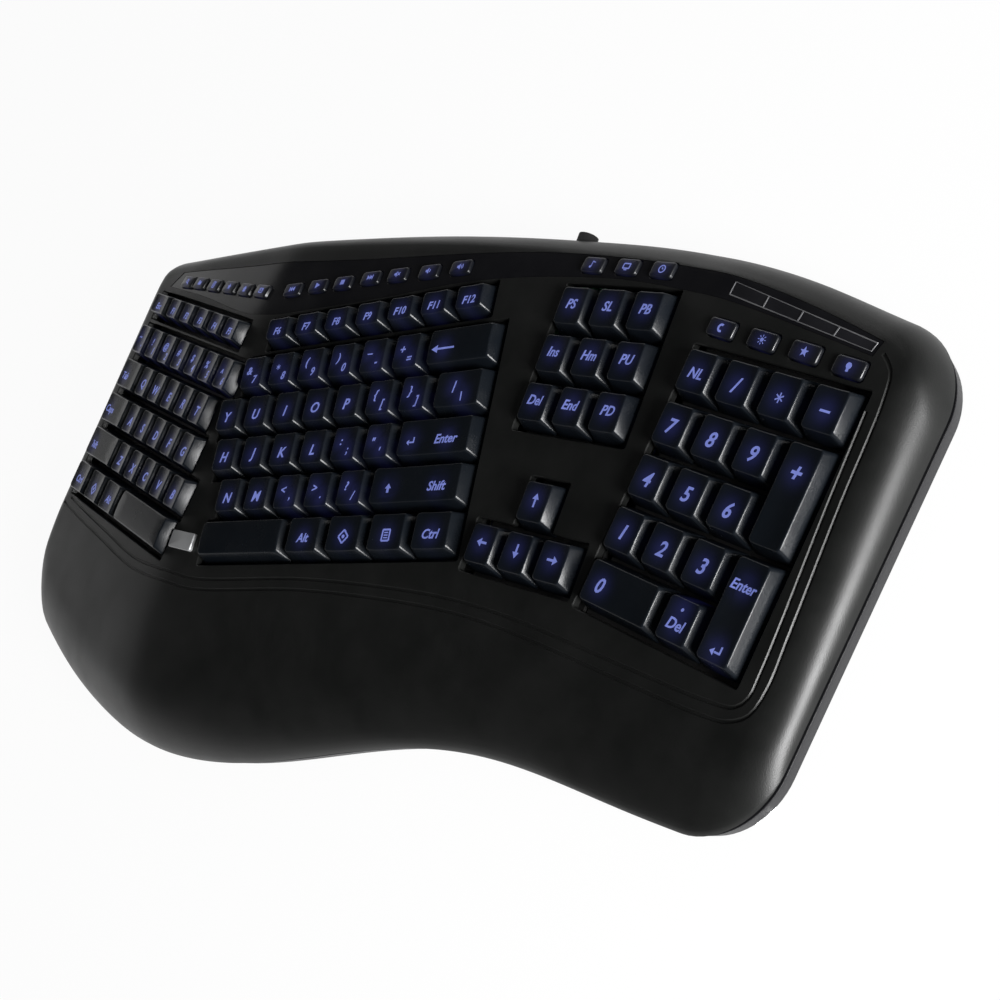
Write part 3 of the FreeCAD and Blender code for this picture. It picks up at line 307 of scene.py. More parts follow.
@dataclass(frozen=True)
class WorkPlane:
    """A tilted, turned plane on which keys are laid out.

    Attributes:
        origin: Layout place of its zero.
        yaw: Its turn in degrees.
        rise_x: Its rise along the layout's x.
        rise_y: Its rise along the layout's y.
        u0: Column of its zero, in keys.
        v0: Row of its zero, in rows.
    """

    origin: Point3
    yaw: float
    rise_x: float
    rise_y: float
    u0: float = 0.0
    v0: float = 0.0

    @property
    def matrix(self) -> Matrix:
        """Layout placement of the plane."""
        normal = Vector((-self.rise_x, -self.rise_y, 1)).normalized()
        turn = math.radians(self.yaw)
        c, s = math.cos(turn), math.sin(turn)
        along = Vector((c, s, self.rise_x * c + self.rise_y * s)).normalized()
        side = normal.cross(along)
        matrix = Matrix((along, side, normal)).transposed().to_4x4()
        matrix.translation = Vector(self.origin)
        return matrix

    def spot(self, u: float, v: float) -> Point2:
        """Plane point of a place counted in keys."""
        return (u - self.u0) * PITCH, (v - self.v0) * PITCH


BANKS = {
    "left": WorkPlane((-8.82, -18.0, 43.6), -10.06, 0.094, 0.036, 6.75, 2.0),
    "right": WorkPlane((8.82, -18.0, 43.6), 10.06, -0.094, 0.036, 6.75, 2.0),
    "nav": WorkPlane((206.62, 22.7, 28.42), -2.63, -0.0173, 0.036, 1.5, 4.0),
    "pad": WorkPlane((282.42, -4.5, 26.35), -10.09, -0.0084, 0.0556, 2.0, 3.0),
}


# Small lit signs, each drawn as flat outlines in a square of side 2.
Mark = Enum("Mark", "LEFT RIGHT UP DOWN ERASE RETURN SHIFT DIAMOND MENU PLAY STOP NEXT BACK QUIET SPEAKER "
                    "LOUD LETTER HOME SEARCH STAR SHEET FOLDER CLOCK SCREEN MOON SUN BULB NOTE TIMES")


@dataclass(frozen=True)
class Row:
    """Keys side by side that share one node.

    Attributes:
        bank: Name of the bank.
        row: Row centre, in rows.
        first: Left end, in keys.
        legends: One text or mark for each key; a space stands between an upper and a lower sign.
        width: Width of each key, in keys.
        depth: Depth, in rows.
    """

    bank: str
    row: float
    first: float
    legends: Sequence
    width: float = 1.0
    depth: float = 1.0

    def cells(self) -> Iterable[Cell]:
        """Yield each key's cell on the bank's plane as x0, x1, y0, y1."""
        plane = BANKS[self.bank]
        u = self.first
        for _ in self.legends:
            x0, y0 = plane.spot(u, self.row - self.depth / 2)
            x1, y1 = plane.spot(u + self.width, self.row + self.depth / 2)
            yield x0, x1, y0, y1
            u += self.width


# Name, row, left end, signs, width and depth of each node's keys, by bank.
KEY_TABLE = {
    "left": (
        ("escape_key", FUNCTION_ROW, 0, ["Esc"], 1.25, FUNCTION_DEPTH),
        ("left_function_keys", FUNCTION_ROW, 1.25, "F1 F2 F3 F4 F5".split(), 1, FUNCTION_DEPTH),
        ("left_number_keys", 4, 0, ["~ `", "! 1", "@ 2", "# 3", "$ 4", "% 5", "^ 6"]),
        ("tab_key", 3, 0, ["Tab"], 1.5),
        ("left_upper_keys", 3, 1.5, "QWERT"),
        ("caps_lock_key", 2, 0, ["Caps"], 1.75),
        ("left_home_keys", 2, 1.75, "ASDFG"),
        ("left_shift_key", 1, 0, ["Shift"], 2.25),
        ("left_lower_keys", 1, 2.25, "ZXCVB"),
        ("left_bottom_keys", 0, 0, ["Ctrl", Mark.DIAMOND, "Alt"], 1.25),
        ("left_space_key", 0, 3.75, [""], 3.4),
    ),
    "right": (
        ("right_function_keys", FUNCTION_ROW, 7.5, "F6 F7 F8 F9 F10 F11 F12".split(), 1, FUNCTION_DEPTH),
        ("right_number_keys", 4, 7, ["& 7", "* 8", "( 9", ") 0", "_ -", "+ ="]),
        ("backspace_key", 4, 13, [Mark.ERASE], 2),
        ("right_upper_keys", 3, 6.5, ["Y", "U", "I", "O", "P", "{ [", "} ]"]),
        ("backslash_key", 3, 13.5, ["| \\"], 1.5),
        ("right_home_keys", 2, 6.75, ["H", "J", "K", "L", ": ;", "\" '"]),
        ("enter_key", 2, 12.75, ["Enter"], 2.25),
        ("right_lower_keys", 1, 7.25, ["N", "M", "< ,", "> .", "? /"]),
        ("right_shift_key", 1, 12.25, ["Shift"], 2.75),
        ("right_space_key", 0, 7, [""], 3),
        ("right_bottom_keys", 0, 10, ["Alt", Mark.DIAMOND, Mark.MENU, "Ctrl"], 1.25),
    ),
    "nav": (
        ("nav_top_keys", 6, 0, ["PS", "SL", "PB"]),
        ("nav_middle_keys", 5, 0, ["Ins", "Hm", "PU"]),
        ("nav_lower_keys", 4, 0, ["Del", "End", "PD"]),
        ("arrow_up_key", UP_ROW, 1, [Mark.UP]),
        ("arrow_left_key", DOWN_ROW, 0, [Mark.LEFT]),
        ("arrow_down_key", DOWN_ROW, 1, [Mark.DOWN]),
        ("arrow_right_key", DOWN_ROW, 2, [Mark.RIGHT]),
    ),
    "pad": (
        ("pad_top_keys", 5, 0, ["NL", "/", "*", "\u2013"]),
        ("pad_upper_keys", 4, 0, "789"),
        ("pad_plus_key", 3.5, 3, ["+"], 1, 2),
        ("pad_middle_keys", 3, 0, "456"),
        ("pad_lower_keys", 2, 0, "123"),
        ("pad_enter_key", 1.5, 3, ["Enter"], 1, 2),
        ("pad_zero_key", 1, 0, ["0"], 2),
        ("pad_decimal_key", 1, 2, [". Del"]),
    ),
}
ROWS = {name: Row(bank, *rest) for bank, rows in KEY_TABLE.items() for name, *rest in rows}


# Meshes

class Skin:
    """Points, faces and face-corner marks of one mesh that is being built."""

    def __init__(self) -> None:
        """Start with nothing."""
        self.points: list[Vector] = []
        self.faces: list[tuple[int, ...]] = []
        self.uvs: dict[int, Point2] = {}

    def ring(self, points: Iterable[Vector]) -> list[int]:
        """Add points and return their numbers."""
        start = len(self.points)
        self.points.extend(points)
        return list(range(start, len(self.points)))

    def bridge(self, low: Sequence[int], high: Sequence[int]) -> None:
        """Join two closed rings that run counter-clockwise seen from the high one's side."""
        count = len(low)
        for i in range(count):
            j = (i + 1) % count
            self.faces.append((low[i], low[j], high[j], high[i]))

    def bridges(self, rings: Sequence[Sequence[int]], around: bool = False) -> None:
        """Join each ring to the next, and the last to the first if they go around."""
        after = rings[1:] + rings[:1] if around else rings[1:]
        for low, high in zip(rings, after):
            self.bridge(low, high)

    def cap(self, ring: Sequence[int], outward: bool = True) -> None:
        """Close a ring with one face."""
        self.faces.append(tuple(ring) if outward else tuple(reversed(ring)))

    def fan(self, ring: Sequence[int], centre: Vector) -> None:
        """Close a ring with triangles to a centre point."""
        hub = self.ring([centre])[0]
        for i, a in enumerate(ring):
            self.faces.append((a, ring[(i + 1) % len(ring)], hub))

    def stack(self, rings: Sequence[Sequence[Vector]]) -> None:
        """Bridge rings one above another, the lowest first, and close both ends."""
        numbers = [self.ring(points) for points in rings]
        self.bridges(numbers)
        self.cap(numbers[0], False)
        self.cap(numbers[-1])

    def sheet(self, lines: Sequence[Sequence[Vector]], upward: bool) -> list[int]:
        """Add a surface over lines of points, each from front to back.

        Args:
            lines: The lines, from left to right.
            upward: Whether its faces look up.

        Returns:
            The point numbers of its border, counter-clockwise from the front left.
        """
        numbers = [self.ring(line) for line in lines]
        for left, right in zip(numbers, numbers[1:]):
            for j in range(len(left) - 1):
                self.cap((left[j], right[j], right[j + 1], left[j + 1]), upward)
        border = [line[0] for line in numbers] + numbers[-1][1:]
        return border + [line[-1] for line in reversed(numbers[:-1])] + list(reversed(numbers[0][1:-1]))

    def mesh(self, name: str) -> bpy.types.Mesh:
        """Turn layout points into a mesh in the frame."""
        mesh = bpy.data.meshes.new(name)
        mesh.from_pydata([place(p) for p in self.points], [], self.faces)
        if self.uvs:
            layer = mesh.uv_layers.new(name="halo")
            for loop in mesh.loops:
                layer.uv[loop.index].vector = self.uvs.get(loop.vertex_index, NO_HALO)
        return mesh

    def thing(self, name: str, *materials: bpy.types.Material) -> Thing:
        """Make the object, smooth except at sharp edges."""
        return new_object(name, self.mesh(name), *materials)


def linked(name: str, data: bpy.types.ID) -> Thing:
    """Make an object for its data and link it to the scene."""
    thing = bpy.data.objects.new(name, data)
    bpy.context.scene.collection.objects.link(thing)
    return thing


def new_object(name: str, mesh: bpy.types.Mesh, *materials: bpy.types.Material) -> Thing:
    """Link an object for a mesh, with its materials and smooth shading up to the sharp angle."""
    mesh.materials.clear()
    for material in materials:
        mesh.materials.append(material)
    mesh.shade_smooth()
    mesh.set_sharp_from_angle(angle=SHARP_ANGLE)
    return linked(name, mesh)


def plain_copy(source: Thing, name: str) -> Thing:
    """Replace an object with live modifiers by a plain mesh of its result.

    Args:
        source: The object, which is removed.
        name: Name of the new object.

    Returns:
        The new object.
    """
    graph = bpy.context.evaluated_depsgraph_get()
    mesh = bpy.data.meshes.new_from_object(source.evaluated_get(graph))
    materials = list(mesh.materials)
    bpy.data.objects.remove(source)
    mesh.name = name
    return new_object(name, mesh, *materials)


def carve(thing: Thing, *cutters: Thing) -> Thing:
    """Cut solids out of an object, one after another, and remove them."""
    name = thing.name
    for cutter in cutters:
        cut = thing.modifiers.new("cut", "BOOLEAN")
        cut.operation = "DIFFERENCE"
        cut.solver = "MANIFOLD"
        cut.object = cutter
    result = plain_copy(thing, name)
    for cutter in cutters:
        bpy.data.objects.remove(cutter)
    return result


def settle(thing: Thing, body: str, slot: str, *nodes: str) -> None:
    """Ride a finished piece on its body, hide the nodes it stands for, and report it."""
    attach(thing, body)
    if nodes:
        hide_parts(*nodes)
    log.info("%s: %d faces, rides on %s", thing.name, len(thing.data.polygons), body)


def rounded_rectangle(x0: float, x1: float, y0: float, y1: float, radius: float, bends: int = 3,
                      parts: tuple[int, int] = (1, 1)) -> list[Point2]:
    """Counter-clockwise outline with round corners.

    Args:
        x0: Left side.
        x1: Right side.
        y0: Front side.
        y1: Back side.
        radius: Corner radius.
        bends: Steps in each corner.
        parts: Steps along the front and back sides, and along the others.

    Returns:
        The outline's points, starting at the front right corner.
    """
    corners = [(x1 - radius, y0 + radius, -90), (x1 - radius, y1 - radius, 0),
               (x0 + radius, y1 - radius, 90), (x0 + radius, y0 + radius, 180)]
    points: list[Point2] = []
    for number, (cx, cy, start) in enumerate(corners):
        for i in range(bends + 1):
            a = math.radians(start + 90 * i / bends)
            points.append((cx + radius * math.cos(a), cy + radius * math.sin(a)))
        steps = parts[1] if number % 2 == 0 else parts[0]
        ax, ay = points[-1]
        a = math.radians(start + 90)
        nx, ny, _ = corners[(number + 1) % 4]
        bx, by = nx + radius * math.cos(a), ny + radius * math.sin(a)
        for i in range(1, steps):
            points.append((ax + (bx - ax) * i / steps, ay + (by - ay) * i / steps))
    return points


def rectangle(x: float, y: float, half_x: float, half_y: float) -> list[Point2]:
    """Counter-clockwise corners of a rectangle around a point, from the front right."""
    return [(x + half_x, y - half_y), (x + half_x, y + half_y), (x - half_x, y + half_y),
            (x - half_x, y - half_y)]


def edge_steps(radius: float, top: float) -> list[Point2]:
    """Inset and height at three steps around a rounded top edge."""
    turns = [math.radians(degrees) for degrees in (30, 60, 90)]
    return [(radius * (1 - math.cos(a)), top - radius * (1 - math.sin(a))) for a in turns]


@dataclass(frozen=True)
class Outline:
    """A closed flat outline with an outward direction at each point."""

    points: tuple[Vector, ...]
    normals: tuple[Vector, ...]

    @classmethod
    def from_corners(cls, corners: Sequence[Point2], radius: float) -> "Outline":
        """Round every corner of a square-cornered outline and divide its sides.

        Args:
            corners: Counter-clockwise corners.
            radius: Radius of each corner.

        Returns:
            The outline.
        """
        bends, longest = 3, 6.0
        count = len(corners)
        points: list[Vector] = []
        normals: list[Vector] = []
        for i in range(count):
            before, corner, after = (Vector(corners[(i + k) % count]) for k in (-1, 0, 1))
            a = (corner - before).normalized()
            b = (after - corner).normalized()
            centre = corner - a * radius + b * radius
            for k in range(bends + 1):
                t = math.radians(90 * k / bends)
                points.append(centre - b * radius * math.cos(t) + a * radius * math.sin(t))
                way = Vector((a.y, -a.x)) * math.cos(t) + Vector((b.y, -b.x)) * math.sin(t)
                normals.append(way.normalized())
            run = (after - corner).length - 2 * radius
            parts = max(1, math.ceil(run / longest))
            for k in range(1, parts):
                points.append(corner + b * (radius + run * k / parts))
                normals.append(Vector((b.y, -b.x)))
        return cls(tuple(points), tuple(normals))

    def grown(self, distance: float) -> list[Vector]:
        """The outline's points moved outwards."""
        return [p + n * distance for p, n in zip(self.points, self.normals)]


def bank_windows(bank: str, margin: float) -> list[list[Point2]]:
    """Corners of the openings around a bank's keys.

    Args:
        bank: Name of the bank.
        margin: Room around the cells.

    Returns:
        One counter-clockwise outline for each opening, on the bank's plane.
    """
    blocks = []
    for row in ROWS.values():
        if row.bank == bank:
            cells = list(row.cells())
            blocks.append((cells[0][0], cells[-1][1], cells[0][2], cells[0][3]))
    edges = sorted({round(v, 3) for block in blocks for v in block[2:]})
    bands: list[Cell | None] = []
    for low, high in zip(edges, edges[1:]):
        middle = (low + high) / 2
        over = [b for b in blocks if b[2] < middle < b[3]]
        bands.append((min(b[0] for b in over), max(b[1] for b in over), low, high) if over else None)
    windows = []
    group: list[Cell] = []
    for band in bands + [None]:
        if band:
            group.append(band)
        elif group:
            windows.append(window_corners(group, margin))
            group = []
    return windows


def window_corners(bands: Sequence[Cell], margin: float) -> list[Point2]:
    """Corners of the union of stacked bands, each grown by a margin."""
    first, last = bands[0], bands[-1]
    right = [(first[1] + margin, first[2] - margin)]
    left = [(first[0] - margin, first[2] - margin)]
    for low, high in zip(bands, bands[1:]):
        for side, edge, way in ((right, 1, 1), (left, 0, -1)):
            change = (low[edge] - high[edge]) * way
            if abs(change) > 0.01:
                y = low[3] + math.copysign(margin, change)
                side += [(low[edge] + margin * way, y), (high[edge] + margin * way, y)]
    right.append((last[1] + margin, last[3] + margin))
    left.append((last[0] - margin, last[3] + margin))
    return right + list(reversed(left))


@dataclass(frozen=True)
class Window:
    """An opening through the case with a small bevel where it meets the surface.

    Attributes:
        outline: Its outline on the plane.
        matrix: Placement of the plane.
        low: Height of the cut's lower end.
        bevel: Depth and width of the bevel.
        high: Height of the cut's upper end.
    """

    outline: Outline
    matrix: Matrix
    low: float
    bevel: float = 0.35
    high: float = 12.0

    def add_to(self, skin: Skin) -> None:
        """Add the solid that cuts this opening."""
        def over(points: Iterable[Vector], lift: float) -> list[Vector]:
            """The points dropped on the case surface."""
            return [SHAPE.on(p.x, p.y, lift) for p in raised(self.matrix, points, 0)]

        extra = 0.2
        points, wide = self.outline.points, self.outline.grown(self.bevel + extra)
        skin.stack([raised(self.matrix, points, self.low), over(points, -self.bevel), over(wide, extra),
                    raised(self.matrix, wide, self.high)])


def windows_object(name: str, windows: Iterable[Window]) -> Thing:
    """One cutting object for openings that stay clear of each other."""
    skin = Skin()
    for window in windows:
        window.add_to(skin)
    return skin.thing(name)


# Finishes

class NodeBuilder:
    """Adds and links nodes in one tree."""

    def __init__(self, tree: bpy.types.NodeTree) -> None:
        """Start on a tree."""
        self.tree = tree

    def add(self, kind: str, inputs: dict | None = None, **settings) -> bpy.types.Node:
        """Add a node, then set its options and inputs.

        Args:
            kind: Node type.
            inputs: Value or source socket for each named or numbered input.
            **settings: Options of the node.

        Returns:
            The node.
        """
        node = self.tree.nodes.new(kind)
        for name, value in settings.items():
            setattr(node, name, value)
        for name, value in (inputs or {}).items():
            if isinstance(value, Socket):
                self.tree.links.new(value, node.inputs[name])
            else:
                node.inputs[name].default_value = value
        return node

    def use(self, group: bpy.types.NodeTree, **inputs: float) -> bpy.types.Node:
        """Add a shared group with its inputs."""
        return self.add("ShaderNodeGroup", inputs, node_tree=group)

    def link(self, source: Socket, target: Socket) -> None:
        """Link an output to an input."""
        self.tree.links.new(source, target)

    def noise(self, where, scale, detail: float, **more: float) -> Socket:
        """Add a noise texture and return its value."""
        inputs = {"Vector": where, "Scale": scale, "Detail": detail, **more}
        return self.add("ShaderNodeTexNoise", inputs).outputs[0]

    def part(self, vector, axis: str) -> Socket:
        """One of a vector's three numbers."""
        return self.add("ShaderNodeSeparateXYZ", {0: vector}).outputs[axis]

    def where(self, kind: str = "Object") -> Socket:
        """The place on the object, or the direction in the surroundings."""
        return self.add("ShaderNodeTexCoord").outputs[kind]

    def math(self, operation: str, *values) -> Socket:
        """Add a Math node and return its result."""
        node = self.add("ShaderNodeMath", dict(enumerate(values)), operation=operation)
        return node.outputs[0]

    def ramp(self, value, low: float, high: float, start: float = 0.0, end: float = 1.0) -> Socket:
        """Map a value from one span to another, held at the ends."""
        node = self.add("ShaderNodeMapRange", {0: value, 1: low, 2: high, 3: start, 4: end})
        return node.outputs[0]

    def blend(self, share, first, second) -> Socket:
        """Mix two colours by a share."""
        node = self.add("ShaderNodeMix", {0: share, 6: first, 7: second}, data_type="RGBA")
        return node.outputs[2]


def cleared(owner: bpy.types.Material | bpy.types.World) -> NodeBuilder:
    """Turn on the nodes of a material or world and start on its empty tree."""
    owner.use_nodes = True
    owner.node_tree.nodes.clear()
    return NodeBuilder(owner.node_tree)


def new_group(kind: str, name: str, inputs: dict,
              outputs: dict) -> tuple[NodeBuilder, bpy.types.Node, bpy.types.Node]:
    """Make a node group with named sockets.

    Args:
        kind: "ShaderNodeTree" or "GeometryNodeTree".
        name: Name of the group.
        inputs: Socket type and value for each input.
        outputs: Socket type for each output.

    Returns:
        The builder, the group's input node and its output node.
    """
    tree = bpy.data.node_groups.new(name, kind)
    for socket, (socket_type, value) in inputs.items():
        made = tree.interface.new_socket(socket, in_out="INPUT", socket_type=socket_type)
        if value is not None:
            made.default_value = value
    for socket, socket_type in outputs.items():
        tree.interface.new_socket(socket, in_out="OUTPUT", socket_type=socket_type)
    build = NodeBuilder(tree)
    return build, build.add("NodeGroupInput"), build.add("NodeGroupOutput")


def moulded_grain() -> bpy.types.NodeTree:
    """Fine moulded texture: its height and a broad mottle."""
    number = "NodeSocketFloat"
    build, given, out = new_group(
        "ShaderNodeTree", "moulded_grain",
        {"Fine": (number, 2600.0), "Broad": (number, 45.0)}, {"Height": number, "Mottle": number})
    where = build.where()
    build.link(build.noise(where, given.outputs["Fine"], 2.0), out.inputs["Height"])
    broad = build.noise(where, given.outputs["Broad"], 4.0, Roughness=0.6)
    build.link(build.ramp(broad, 0.3, 0.7), out.inputs["Mottle"])
    return build.tree


def hand_polish() -> bpy.types.NodeTree:
    """Where hands have rubbed a surface smoother: long soft patches."""
    number = "NodeSocketFloat"
    build, given, out = new_group("ShaderNodeTree", "hand_polish",
                                  {"Patch": (number, 14.0), "Amount": (number, 0.5)}, {"Mask": number})
    patch = build.noise(build.where(), given.outputs["Patch"], 3.0, Distortion=0.6)
    mask = build.math("MULTIPLY", build.ramp(patch, 0.42, 0.72), given.outputs["Amount"])
    build.link(mask, out.inputs["Mask"])
    return build.tree


def brushed_lines() -> bpy.types.NodeTree:
    """Fine straight lines of a brushed surface."""
    number = "NodeSocketFloat"
    build, given, out = new_group("ShaderNodeTree", "brushed_lines",
                                  {"Along": (number, 60.0), "Across": (number, 5000.0)},
                                  {"Height": number})
    along, across = given.outputs["Along"], given.outputs["Across"]
    stretch = build.add("ShaderNodeCombineXYZ", {0: along, 1: across, 2: across})
    scaled = build.add("ShaderNodeVectorMath", {0: build.where(), 1: stretch.outputs[0]},
                       operation="MULTIPLY")
    build.link(build.noise(scaled.outputs[0], 1.0, 2.0), out.inputs["Height"])
    return build.tree


def lit_halo() -> bpy.types.NodeTree:
    """Light that spreads under a sign, by the distance in the piece's own halo map."""
    number = "NodeSocketFloat"
    build, given, out = new_group("ShaderNodeTree", "lit_halo",
                                  {"Reach": (number, 0.5), "Glow": (number, 0.2)}, {"Mask": number})
    where = build.add("ShaderNodeUVMap", uv_map="halo").outputs[0]
    far = build.add("ShaderNodeVectorMath", {0: where}, operation="LENGTH").outputs["Value"]
    share = build.math("DIVIDE", far, given.outputs["Reach"])
    fall = build.math("POWER", 2.718, build.math("MULTIPLY", build.math("MULTIPLY", share, share), -1.0))
    build.link(build.math("MULTIPLY", fall, given.outputs["Glow"]), out.inputs["Mask"])
    return build.tree


GRAIN = moulded_grain()
POLISH = hand_polish()
BRUSH = brushed_lines()
HALO = lit_halo()


@dataclass(frozen=True)
class Finish:
    """Moulded plastic or rubber with a fine grain, a broad mottle and rubbed patches.

    Attributes:
        name: Name of the material.
        dark: Colour in the mottle's low parts.
        light: Colour in its high parts.
        rough: Lowest and highest roughness.
        specular: Strength of the plain reflection.
        metallic: How far it is a metal, from 0 to 1.
        fine: Grain size, as its number per metre.
        broad: Mottle size, as its number per metre.
        bump: Depth of the grain in metres.
        rubbed: How much smoother rubbed patches are.
    """

    name: str
    dark: Colour
    light: Colour
    rough: tuple[float, float] = (0.4, 0.55)
    specular: float = 0.3
    metallic: float = 0.0
    fine: float = 2600.0
    broad: float = 45.0
    bump: float = 0.00004
    rubbed: float = 0.2

    def make(self) -> bpy.types.Material:
        """Return the material, built once."""
        made = bpy.data.materials.get(self.name)
        if made is None:
            made = bpy.data.materials.new(self.name)
            build = cleared(made)
            shader = build.add("ShaderNodeBsdfPrincipled", {"Specular IOR Level": self.specular,
                                                            "Metallic": self.metallic})
            build.add("ShaderNodeOutputMaterial", {0: shader.outputs[0]})
            self.dress(build, shader)
        return made

    def dress(self, build: NodeBuilder, shader: bpy.types.Node) -> None:
        """Link the finish's colour, roughness and bump to the shader."""
        grain = build.use(GRAIN, Fine=self.fine, Broad=self.broad)
        colour = build.blend(grain.outputs["Mottle"], (*self.dark, 1), (*self.light, 1))
        build.link(colour, shader.inputs["Base Color"])
        polish = build.use(POLISH, Amount=self.rubbed)
        base = build.ramp(grain.outputs["Mottle"], 0, 1, *self.rough)
        smoother = build.math("MULTIPLY", base, build.math("SUBTRACT", 1.0, polish.outputs[0]))
        build.link(smoother, shader.inputs["Roughness"])
        bump = build.add("ShaderNodeBump", {"Height": grain.outputs["Height"], "Distance": self.bump})
        build.link(bump.outputs[0], shader.inputs["Normal"])


@dataclass(frozen=True)
class KeyFinish(Finish):
    """Key plastic whose top glows softly around its sign.

    Attributes:
        glow: Colour of the light around the sign.
        reach: How far it spreads, in units of the halo map.
        strength: Its strength at the sign.
    """

    glow: Colour = (0.10, 0.11, 0.60)
    reach: float = 0.4
    strength: float = 0.075

    def dress(self, build: NodeBuilder, shader: bpy.types.Node) -> None:
        """Add the light around the sign to the plastic."""
        super().dress(build, shader)
        halo = build.use(HALO, Reach=self.reach, Glow=self.strength)
        colour = build.blend(halo.outputs[0], (0, 0, 0, 1), (*self.glow, 1))
        build.link(colour, shader.inputs["Emission Color"])
        shader.inputs["Emission Strength"].default_value = 1.0


@dataclass(frozen=True)
class SignFinish(Finish):
    """Clear sign lit from below, a little uneven.

    Attributes:
        lit: Darkest and lightest colour of the light.
        strength: Its strength.
        patch: Size of its patches, as their number per metre.
    """

    lit: tuple[Colour, Colour] = ((0.09, 0.115, 0.33), (0.13, 0.16, 0.44))
    strength: float = 1.0
    patch: float = 260.0

    def dress(self, build: NodeBuilder, shader: bpy.types.Node) -> None:
        """Add the even light to the plastic."""
        super().dress(build, shader)
        grain = build.use(GRAIN, Broad=self.patch)
        low, high = self.lit
        colour = build.blend(grain.outputs["Mottle"], (*low, 1), (*high, 1))
        build.link(colour, shader.inputs["Emission Color"])
        shader.inputs["Emission Strength"].default_value = self.strength


@dataclass(frozen=True)
class MetalFinish(Finish):
    """Brushed metal.

    Attributes:
        along: Changes per metre along the lines.
        across: Changes per metre across them.
    """

    along: float = 60.0
    across: float = 5000.0

    def dress(self, build: NodeBuilder, shader: bpy.types.Node) -> None:
        """Replace the grain's bump by brushed lines."""
        super().dress(build, shader)
        lines = build.use(BRUSH, Along=self.along, Across=self.across)
        bump = build.add("ShaderNodeBump", {"Height": lines.outputs[0], "Distance": self.bump})
        build.link(bump.outputs[0], shader.inputs["Normal"])


@dataclass(frozen=True)
class BoardFinish(Finish):
    """Circuit board lacquer with copper tracks under it.

    Attributes:
        track: Colour of the tracks.
        pitch: Cells of the track pattern per metre.
    """

    track: Colour = (0.10, 0.32, 0.16)
    pitch: float = 520.0

    def dress(self, build: NodeBuilder, shader: bpy.types.Node) -> None:
        """Draw square-cornered tracks over the lacquer."""
        super().dress(build, shader)
        cellular = build.add("ShaderNodeTexVoronoi", {"Vector": build.where(), "Scale": self.pitch},
                             distance="CHEBYCHEV")
        lane = build.math("FRACT", build.math("MULTIPLY", cellular.outputs["Distance"], 4.0))
        mask = build.ramp(lane, 0.5, 0.6)
        lacquer = shader.inputs["Base Color"].links[0].from_socket
        build.link(build.blend(mask, lacquer, (*self.track, 1)), shader.inputs["Base Color"])


CASE_BLACK = Finish("case_black_finish", (0.0035, 0.0038, 0.0036), (0.006, 0.0062, 0.006), (0.4, 0.46), 0.24,
                    bump=0.00004, rubbed=0.12)
BASE_BLACK = Finish("base_black_finish", (0.006, 0.006, 0.007), (0.010, 0.010, 0.011), (0.44, 0.54), 0.2,
                    fine=1900.0, bump=0.00006)
STRIP_BLACK = Finish("strip_black_finish", (0.003, 0.003, 0.004), (0.005, 0.005, 0.006), (0.16, 0.22), 0.45,
                     bump=0.000004, rubbed=0.35)
LENS_SMOKE = Finish("lens_smoke_finish", (0.006, 0.006, 0.007), (0.010, 0.010, 0.012), (0.08, 0.14), 0.5,
                    bump=0.000002)
LENS_RIM = Finish("lens_rim_finish", (0.07, 0.07, 0.075), (0.11, 0.11, 0.115), (0.3, 0.4), 0.4, bump=0.00001)
BADGE_SILVER = MetalFinish("badge_silver_finish", (0.34, 0.345, 0.35), (0.42, 0.425, 0.43), (0.34, 0.46),
                           0.5, 0.55, bump=0.000008)
KEY_CHARCOAL = KeyFinish("key_charcoal_finish", (0.0025, 0.0035, 0.005), (0.004, 0.005, 0.0065), (0.24, 0.3),
                         0.15, fine=3200.0, bump=0.00003, rubbed=0.12)
SIGN_GLOW = SignFinish("sign_glow_finish", (0.04, 0.045, 0.12), (0.06, 0.07, 0.17), (0.35, 0.45), 0.3,
                       bump=0.000004)
PLATE_BLACK = Finish("plate_black_finish", (0.010, 0.010, 0.010), (0.018, 0.018, 0.018), (0.5, 0.65), 0.3)
DOME_RUBBER = Finish("dome_rubber_finish", (0.42, 0.43, 0.43), (0.55, 0.56, 0.55), (0.55, 0.7), 0.3,
                     broad=120.0)
MEMBRANE_FILM = BoardFinish("membrane_film_finish", (0.55, 0.56, 0.52), (0.66, 0.67, 0.62), (0.2, 0.3), 0.5,
                            bump=0.000003, track=(0.32, 0.34, 0.36), pitch=260.0)
LIGHT_PANEL = Finish("light_panel_finish", (0.36, 0.42, 0.75), (0.46, 0.52, 0.85), (0.12, 0.2), 0.6,
                     bump=0.000006, fine=900.0)
BOARD_GREEN = BoardFinish("board_green_finish", (0.015, 0.09, 0.04), (0.02, 0.12, 0.055), (0.25, 0.35), 0.5,
                          bump=0.00002)
SCREW_STEEL = MetalFinish("screw_steel_finish", (0.10, 0.10, 0.105), (0.18, 0.18, 0.19), (0.3, 0.45), 0.5,
                          1.0, bump=0.00001, along=800.0)
RUBBER_BLACK = Finish("rubber_black_finish", (0.012, 0.012, 0.012), (0.02, 0.02, 0.02), (0.65, 0.8), 0.25,
                      fine=1500.0, bump=0.00006, rubbed=0.1)


# Geometry Nodes

